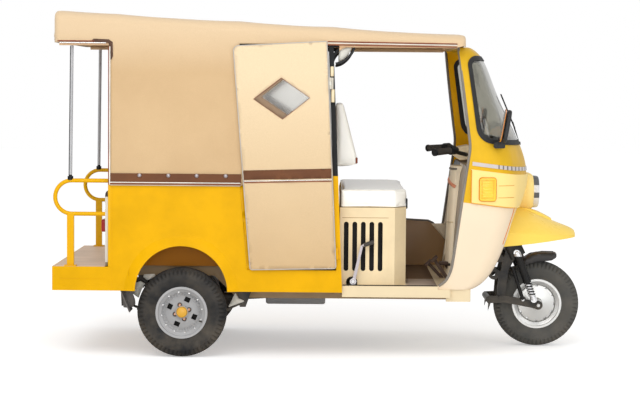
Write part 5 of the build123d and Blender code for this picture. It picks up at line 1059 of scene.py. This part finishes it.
def channel(axis, pitch, depth, face):
    """Sewn channels square to an axis on the face of a pad that looks along face = (axis index, sign)."""
    def move(co, low, high):
        index, sign = face
        near = high[index] - co[index] if sign > 0 else co[index] - low[index]
        if near < 0.03:
            phase = (co[axis] - (low[axis] + high[axis]) / 2) / pitch + 0.5
            distance = abs(phase - round(phase)) * pitch
            co[index] -= sign * depth * max(0.0, 1 - distance / 0.022) ** 2
        return co
    return move


# Bench pads, with the pitch of their sewn channels and the face that shows them.
for node, pitch, face in (("seat_rear", 0.24, (2, 1)), ("seat_front", 0.24, (2, 1)),
                          ("backrest_rear", 0.185, (0, -1)), ("backrest_front", 0.185, (0, 1))):
    sewn = channel(1, pitch, 0.008, face)
    soft_pad(node, "vehicle", "vinyl_dark", 0.014, 3.0, 0.012, 0.004, sewn)
seat_pad = soft_pad("driver_seat", "driver_seat", "vinyl_cream", 0.008, 1.2, 0.006, 0.0015)
back_pad = soft_pad("driver_backrest", "vehicle", "vinyl_cream", 0.0065, 1.0, 0.004, 0.001)


def laid(pad, points, lift=0.0008, steps=6):
    """Points along a line, drawn onto the surface of a pad."""
    out = []
    for a, b in zip(points, points[1:]):
        for k in range(steps):
            _, point, normal, _ = pad.closest_point_on_mesh(Vector(a).lerp(Vector(b), k / steps))
            out.append(tuple(point + normal * lift))
    return out


SEAT_EDGE = ((0.088, -0.560), (0.376, -0.560), (0.438, -0.480), (0.438, 0.480), (0.376, 0.560), (0.088, 0.560))
for index, z in enumerate((0.8860, 0.803)):
    loop = [(u, v, z) for u, v in rounded_loop(SEAT_EDGE, (0.008, 0.03, 0.03, 0.03, 0.03, 0.008), steps=3)]
    line = laid(seat_pad, loop + loop[:1], steps=4)
    tube(f"driver_seat_piping_{index}", line, 0.0030, "vinyl_cream", "driver_seat", closed=True)

# ---- cab trim
# (z, half width) of the cab's side, and the (x, z) edge of the doorway.
CAB_HALF = ((0.371, 0.600), (0.431, 0.604), (0.533, 0.608), (0.700, 0.614), (0.860, 0.618), (1.010, 0.620),
            (1.130, 0.620), (1.340, 0.616), (1.520, 0.606), (1.595, 0.585), (1.645, 0.545))
DOORWAY = ((0.702, 1.642), (0.7125, 1.560), (0.7290, 1.420), (0.7430, 1.310), (0.7585, 1.190), (0.7640, 1.155),
           (0.7660, 1.125), (0.7640, 1.092), (0.7590, 1.062), (0.7420, 0.940), (0.7150, 0.745), (0.6960, 0.608),
           (0.6810, 0.502), (0.6730, 0.468), (0.6560, 0.430), (0.6350, 0.404), (0.6120, 0.391))
MAT_EDGE = [(0.445, -0.585), (0.600, -0.585), (0.600, 0.575), (0.445, 0.575)]
SIDE_PANEL_EDGE = ((0.104, 0.674), (0.40, 0.6605), (0.610, 0.650), (0.640, 0.636), (0.711, 0.542))


def cab_half(z):
    for (z0, h0), (z1, h1) in zip(CAB_HALF, CAB_HALF[1:]):
        if z <= z1:
            return lerp(h0, h1, max(0.0, (z - z0) / (z1 - z0)))
    return CAB_HALF[-1][1]


for side, sign in SIDES.items():
    line = [(x - 0.002, sign * (cab_half(z) - 0.0015), z) for x, z in DOORWAY]
    tube(f"doorway_beading_{side}", line, 0.0075, "grey_rubber", smooth=True)
panel("floor_mat", MAT_EDGE, 0.06, lambda u, v, h: (u, v, 0.3870 + h), 0.003, "mat")
tube("side_panel_beading", [(x, 0.5895, z) for x, z in SIDE_PANEL_EDGE], 0.006, "grey_rubber")

# Headlamp: chrome bezel, silvered bowl, bulb and a domed lens.
LAMP_AT = (1.158, 0.0, 0.859)
BEZEL = ((-0.038, 0.070), (0.000, 0.078), (0.000, 0.0885), (0.006, 0.0892), (0.020, 0.0880), (0.028, 0.0850),
         (0.0310, 0.0805), (0.0290, 0.0765), (0.0240, 0.0745), (0.020, 0.0742), (0.002, 0.070), (-0.036, 0.050))
BOWL = ((-0.036, 0.0), (-0.034, 0.022), (-0.026, 0.040), (-0.012, 0.056), (0.004, 0.067), (0.021, 0.0735))
LENS = ((0.0215, 0.0735), (0.0270, 0.060), (0.0325, 0.042), (0.0360, 0.022), (0.0372, 0.0))
BULB = ((-0.034, 0.012), (-0.012, 0.012), (-0.010, 0.007), (0.002, 0.0065), (0.006, 0.0))
for name, profile, material, slot, segments, sharp in (
    ("bezel", BEZEL, "bezel", "chrome", 72, 50), ("bowl", BOWL, "chrome", None, 48, 80),
    ("lens", LENS, "lamp_glass", None, 48, 80), ("bulb", BULB, "white_piping", None, 20, 40),
):
    ring = turned(f"headlamp_{name}", profile, LAMP_AT, (1, 0, 0), material, "vehicle", segments, sharp)
    if name == "bezel":
        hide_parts("headlamp")

# ---- fittings by the doorway and the driver
LATCHES, LATCH_Y = ((1.512, 0.026), (1.385, 0.034)), 0.6445
BRACE = ((0.056, 1.552), (0.078, 1.556), (0.100, 1.567), (0.121, 1.584), (0.138, 1.604), (0.149, 1.624), (0.153, 1.642))
GUSSET = [(0.074, 1.642), (0.141, 1.642), (0.133, 1.618), (0.116, 1.594), (0.096, 1.576), (0.074, 1.566)]
POLE_EDGE = ((-1.3385, 0.958), (-1.3305, 1.632))
SEAM = ((0.076, 1.3405), (0.104, 1.3405), (0.140, 1.190), (0.177, 1.030), (0.172, 1.010), (0.086, 1.004))
BRACE_Y, GUSSET_Y, POLE_EDGE_Y, SEAM_Y = 0.622, 0.618, 0.6075, 0.330
for side, sign in SIDES.items():
    # Latch fitting and lower bracket on the pillar behind the doorway.
    for index, (z, high) in enumerate(LATCHES):
        x, y = lean(PILLAR_LOW, PILLAR_HIGH, z), sign * LATCH_Y
        rounded_box(f"latch_plate_{side}_{index}", (x - 0.008, y - 0.004, z - high), (x + 0.009, y + 0.004, z + high),
                    0.003, "cream")
    # Corner brace under the front of the canopy: a black arc with a pale gusset behind it.
    tube(f"corner_brace_{side}", [(x, sign * BRACE_Y, z) for x, z in BRACE], 0.0072, "black", smooth=True)
    panel(f"corner_gusset_{side}", GUSSET, 0.03, at_side(sign, GUSSET_Y), 0.002, "bracket")
    # Dark rear edge of each pole.
    tube(f"pole_edge_{side}", [(x, sign * POLE_EDGE_Y, z) for x, z in POLE_EDGE], 0.0022, "black")
rounded_box("seat_latch", (0.4375, -0.482, 0.788), (0.4455, -0.448, 0.842), 0.003, "black_plastic")
rounded_box("backrest_trim", (0.168, -0.331, 1.020), (0.180, -0.318, 1.052), 0.003, "brown_piping")
for side, sign in SIDES.items():
    seam = laid(back_pad, [(x, sign * SEAM_Y, z) for x, z in SEAM])
    tube(f"backrest_seam_{side}", seam, 0.0016, "vinyl_cream")


def ribs(count, pitch, rib):
    """Profile points of equal ribs; rib holds those of the first."""
    return [(along + pitch * k, radius) for k in range(count) for along, radius in rib]


# Kick lever: ribbed rubber on the pedal and a splined steel boss.
BOSS_X, BOSS_Z, BOSS_R = 0.158, 0.408, 0.0155
ribbed = ribs(6, 0.0085, ((0.001, 0.0112), (0.006, 0.0112), (0.007, 0.0102), (0.0085, 0.0102)))
ribbed = [(-0.001, 0.0092), *ribbed, (0.0535, 0.0112), (0.0545, 0.006), (0.0545, 0.0)]
pedal_axis = Vector((0.95, 0, 0.31)).normalized()
turned("kick_pedal_rubber", ribbed, (0.214, -0.582, 0.6003), pedal_axis, "grip", segments=24)
for k in range(14):
    angle = 2 * pi * k / 14
    x, z = BOSS_X + BOSS_R * cos(angle), BOSS_Z + BOSS_R * sin(angle)
    tube(f"kick_spline_{k}", [(x, -0.5755, z), (x, -0.5925, z)], 0.0022, "chrome")
turned("kick_nut", KICK_NUT, (BOSS_X, -0.590, BOSS_Z), (0, -1, 0), "steel", segments=6, sharp=20)
# Painted shade: a near-black line in the recess along the floor's edge.
tube("floor_edge_shade_line", [(0.102, -0.5985, 0.3885), (0.600, -0.5985, 0.3885)], 0.004, "dark")

# ---- brake pedal and handlebar
rounded_box("brake_pedal_pad", (0.640, -0.105, 0.452), (0.690, -0.048, 0.470), 0.004, "pedal")
tube("brake_pedal_arm", [(0.672, -0.078, 0.458), (0.690, -0.070, 0.430), (0.700, -0.062, 0.400)], 0.007, "pedal")
grip_ribs = ribs(13, 0.0080, ((0.006, 0.0182), (0.0105, 0.0182), (0.0115, 0.0174), (0.013, 0.0174)))
grip_ribs = [(0.004, 0.0168), *grip_ribs, (0.111, 0.0200), (0.115, 0.0200), (0.115, 0.0168)]
for side, sign in SIDES.items():
    grip_end = Vector((0.596, sign * 0.356, 1.084))
    along = (Vector((0.684, sign * 0.268, 1.092)) - grip_end).normalized()
    turned(f"grip_{side}", grip_ribs, grip_end, along, "grip", "steering", segments=36)
    # Rubber gaiter where the wiring leaves the switch pod.
    turned(f"pod_gaiter_{side}", GAITER, grip_end + along * 0.158, along, "grip", "steering", segments=24)


# ---- front of the cab
def skin_line(name, node, points, sign, radius, material, lift=0.0):
    """A thin line laid on the side of a solid, through (x, z) points."""
    found = []
    for x, z in points:
        hit, point, normal, _ = nodes[node].ray_cast(Vector((x, sign * 2.0, z)), Vector((0, -sign, 0)))
        if hit:
            found.append(tuple(point + normal * lift))
    tube(name, found, radius, material)


def oblong(low, high, radius, steps=7):
    """A rectangle with rounded corners, between two opposite ones."""
    return rounded_loop([low, (high[0], low[1]), high, (low[0], high[1])], (radius,) * 4, steps)


# Lower edge of the fascia, as it rises forwards.
SPLIT_AT = (0.766, 0.828)
SPLIT_RISE = (0.797 - 0.828) / (1.013 - 0.766)
LENS_RIB_Y = 0.6385
around = oblong((0.813, 0.840), (0.903, 0.964), 0.016)
low_x = [0.7725 + 0.0125 * k for k in range(21)]
low_edge = [(x, SPLIT_AT[1] + (x - SPLIT_AT[0]) * SPLIT_RISE + 0.0032) for x in low_x]
# Coloured edges and grooves: name, solid, (x, z) points, radius, finish and lift.
SKIN_LINES = (
    ("fascia_lower_edge_{}", "fascia", low_edge, 0.0022, "ochre", 0.0),
    ("fascia_rear_edge_{}", "fascia", [(0.7722, 0.832 + 0.0172 * k) for k in range(11)], 0.0026, "ochre", 0.0),
    ("fascia_groove_{}_0", "fascia", [(0.9155 + 0.0096 * k, 0.921) for k in range(10)], 0.0016, "ochre", 0.0),
    ("fascia_groove_{}_1", "fascia", [(0.9155 + 0.0096 * k, 0.858) for k in range(10)], 0.0016, "ochre", 0.0),
    ("shield_edge_{}", "leg_shield", [(1.0085 - 0.00315 * k, 0.797 - 0.00935 * k) for k in range(21)], 0.0024, "orange",
     0.0008),
    # Painted shade: the engine box's pressed line is drawn as a dark brown line.
    ("box_press_line_{}", "engine_box", [(0.098 + 0.0245 * k, 0.7432) for k in range(11)], 0.0012, "shade_brown", 0.0),
    ("indicator_edge_{}", "fascia", around + around[:1], 0.0024, "ochre", 0.0),
)
for side, sign in SIDES.items():
    # Ribs of the indicator's lens.
    for index in range(5):
        y, z = sign * LENS_RIB_Y, 0.866 + index * 0.018
        rounded_box(f"lens_rib_{side}_{index}", (0.834, y - 0.0035, z - 0.006), (0.882, y + 0.0035, z + 0.006), 0.0028,
                    "amber")
    for name, node, points, radius, material, lift in SKIN_LINES:
        skin_line(name.format(side), node, points, sign, radius, material, lift)
# Mirrors: polished glass on the rear of each head inside an orange rim.
MIRROR_NORMAL, MIRROR_UP = Vector((-0.985, 0, 0.17)).normalized(), Vector((0.17, 0, 0.985)).normalized()
mirror_edge = oblong((-0.052, -0.086), (0.052, 0.086), 0.032, 9)
for side, sign in SIDES.items():
    def on_mirror(u, v, h, centre=Vector((0.938, sign * 0.676, 1.236))):
        return tuple(centre + Vector((0, 1, 0)) * u + MIRROR_UP * v + MIRROR_NORMAL * h)

    rim = [on_mirror(u * 0.97, v * 0.98, 0.010) for u, v in mirror_edge]
    tube(f"mirror_rim_{side}", rim, 0.0018, "orange", closed=True)
    panel(f"mirror_glass_{side}", [(u * 0.93, v * 0.95) for u, v in mirror_edge], 0.03,
          lambda u, v, h: on_mirror(u, v, 0.0112 + h), 0.0012, "chrome")


# ---- column cowl and toe board
def cowl_point(angle, z, lift=0.0):
    """Point on the rear of the column cowl; angle 0 looks rearwards and 90 degrees to the right."""
    t = (z - 0.385) / 0.615
    centre, wide, deep = lerp(0.700, 0.734, t), lerp(0.088, 0.098, t), 0.034
    return centre - (deep + lift) * cos(angle), -(wide + lift) * sin(angle), z


stripe = [cowl_point(radians(a), 0.915 - 0.00035 * a, 0.0006) for a in range(-84, 86, 6)]
tube("cowl_stripe", stripe, 0.0095, "red_trim")
COWL_BANDS = ((0.985, 0.006, "grey_rubber"), (0.690, 0.0035, "cream"), (0.455, 0.0075, "rubber"))
for index, (z, radius, kind) in enumerate(COWL_BANDS):
    tube(f"cowl_band_{index}", [cowl_point(radians(a), z, 0.0004) for a in range(-88, 90, 6)], radius, kind)
toe = [(0.627, 0.633), (0.722, 0.634), (0.712, 0.538)]
panel("toe_gusset_left", toe, 0.03, at_side(1, 0.5830), 0.002, "cream_light")

# ---- shade sheet behind the louvres, brackets and trims
# Pale spring plates and the dark bush between them, behind and ahead of the rear wheel.
PLATES = (
    ([(-0.9565, 0.4264), (-0.8947, 0.4290), (-0.8992, 0.4152), (-0.9379, 0.3946), (-0.9586, 0.4105)], "bracket", 0.486),
    ([(-0.9973, 0.3967), (-0.9475, 0.3829), (-0.9703, 0.3373), (-0.9835, 0.2986), (-1.0227, 0.3283),
      (-1.0090, 0.3601)], "bracket", 0.486),
    ([(-1.0000, 0.4125), (-0.9607, 0.4105), (-0.9289, 0.3829), (-0.9475, 0.3766), (-0.9703, 0.3925),
      (-0.9973, 0.3829)], "rubber", 0.493),
    ([(-0.4678, 0.3331), (-0.4498, 0.3008), (-0.4132, 0.2875), (-0.4498, 0.2738), (-0.5092, 0.2509),
      (-0.4954, 0.2738)], "bracket", 0.486),
    ([(-1.0694, 0.3546), (-1.0152, 0.3546), (-0.9947, 0.2998), (-0.9926, 0.2751), (-1.0084, 0.2593), (-1.0310, 0.2546),
      (-1.0557, 0.2567)], "flap", 0.560),
)
SKIRT = [(1.0990, 0.4700), (1.1220, 0.4885), (1.1560, 0.5105), (1.2240, 0.5215), (1.2890, 0.5205), (1.2870, 0.4960),
         (1.2640, 0.4810), (1.2240, 0.4760), (1.1760, 0.4730), (1.1380, 0.4620), (1.1120, 0.4480)]
FRONT_BOLTS = ((1.062, 0.528, 0.150), (1.160, 0.270, 0.134), (1.100, 0.268, 0.134), (1.186, 0.237, 0.137))
FLANGE_Y, REAR_TRIM_Y = 0.638, 0.606
shade_sheet_outline = oblong((0.098, 0.440), (0.330, 0.745), 0.02)
for side, sign in SIDES.items():
    out = (0, sign, 0)
    # Painted shade: a near-black sheet behind the louvres, for the dark inside of the engine box.
    panel(f"louvre_shade_sheet_{side}", shade_sheet_outline, 0.05, at_side(sign, 0.546), 0.004, "dark")
    # Flange along the rear edge of the tub and a pale trim on its rear wall.
    y = sign * FLANGE_Y
    rounded_box(f"tub_flange_{side}", (-1.1300, y - 0.0022, 0.4805), (-1.1170, y + 0.0022, 0.9300), 0.0012, "yellow")
    y = sign * REAR_TRIM_Y
    rounded_box(f"tub_rear_trim_{side}", (-1.1480, y - 0.006, 0.500), (-1.1215, y + 0.006, 0.846), 0.003, "bracket")
    for index, (outline, kind, y) in enumerate(PLATES):
        loop = rounded_loop(outline, (0.004,) * len(outline))
        panel(f"spring_plate_{side}_{index}", loop, 0.03, at_side(sign, y), 0.004, kind)
    # Painted shade: the hole in the rail is a near-black disc for its dark depth.
    turned(f"rail_hole_{side}", RAIL_HOLE, (-0.559, sign * 0.3805, 0.414), out, "dark", segments=28)
    # Side skirt of the front mudguard and bolts of the front suspension.
    panel(f"guard_skirt_{side}", SKIRT, 0.02, at_side(sign, 0.0735), 0.0025, "guard_side", "steering")
    for index, (x, z, y) in enumerate(FRONT_BOLTS):
        turned(f"front_bolt_{side}_{index}", FRONT_BOLT, (x, sign * y, z), out, "bright_trim", "steering", segments=6,
               sharp=20)
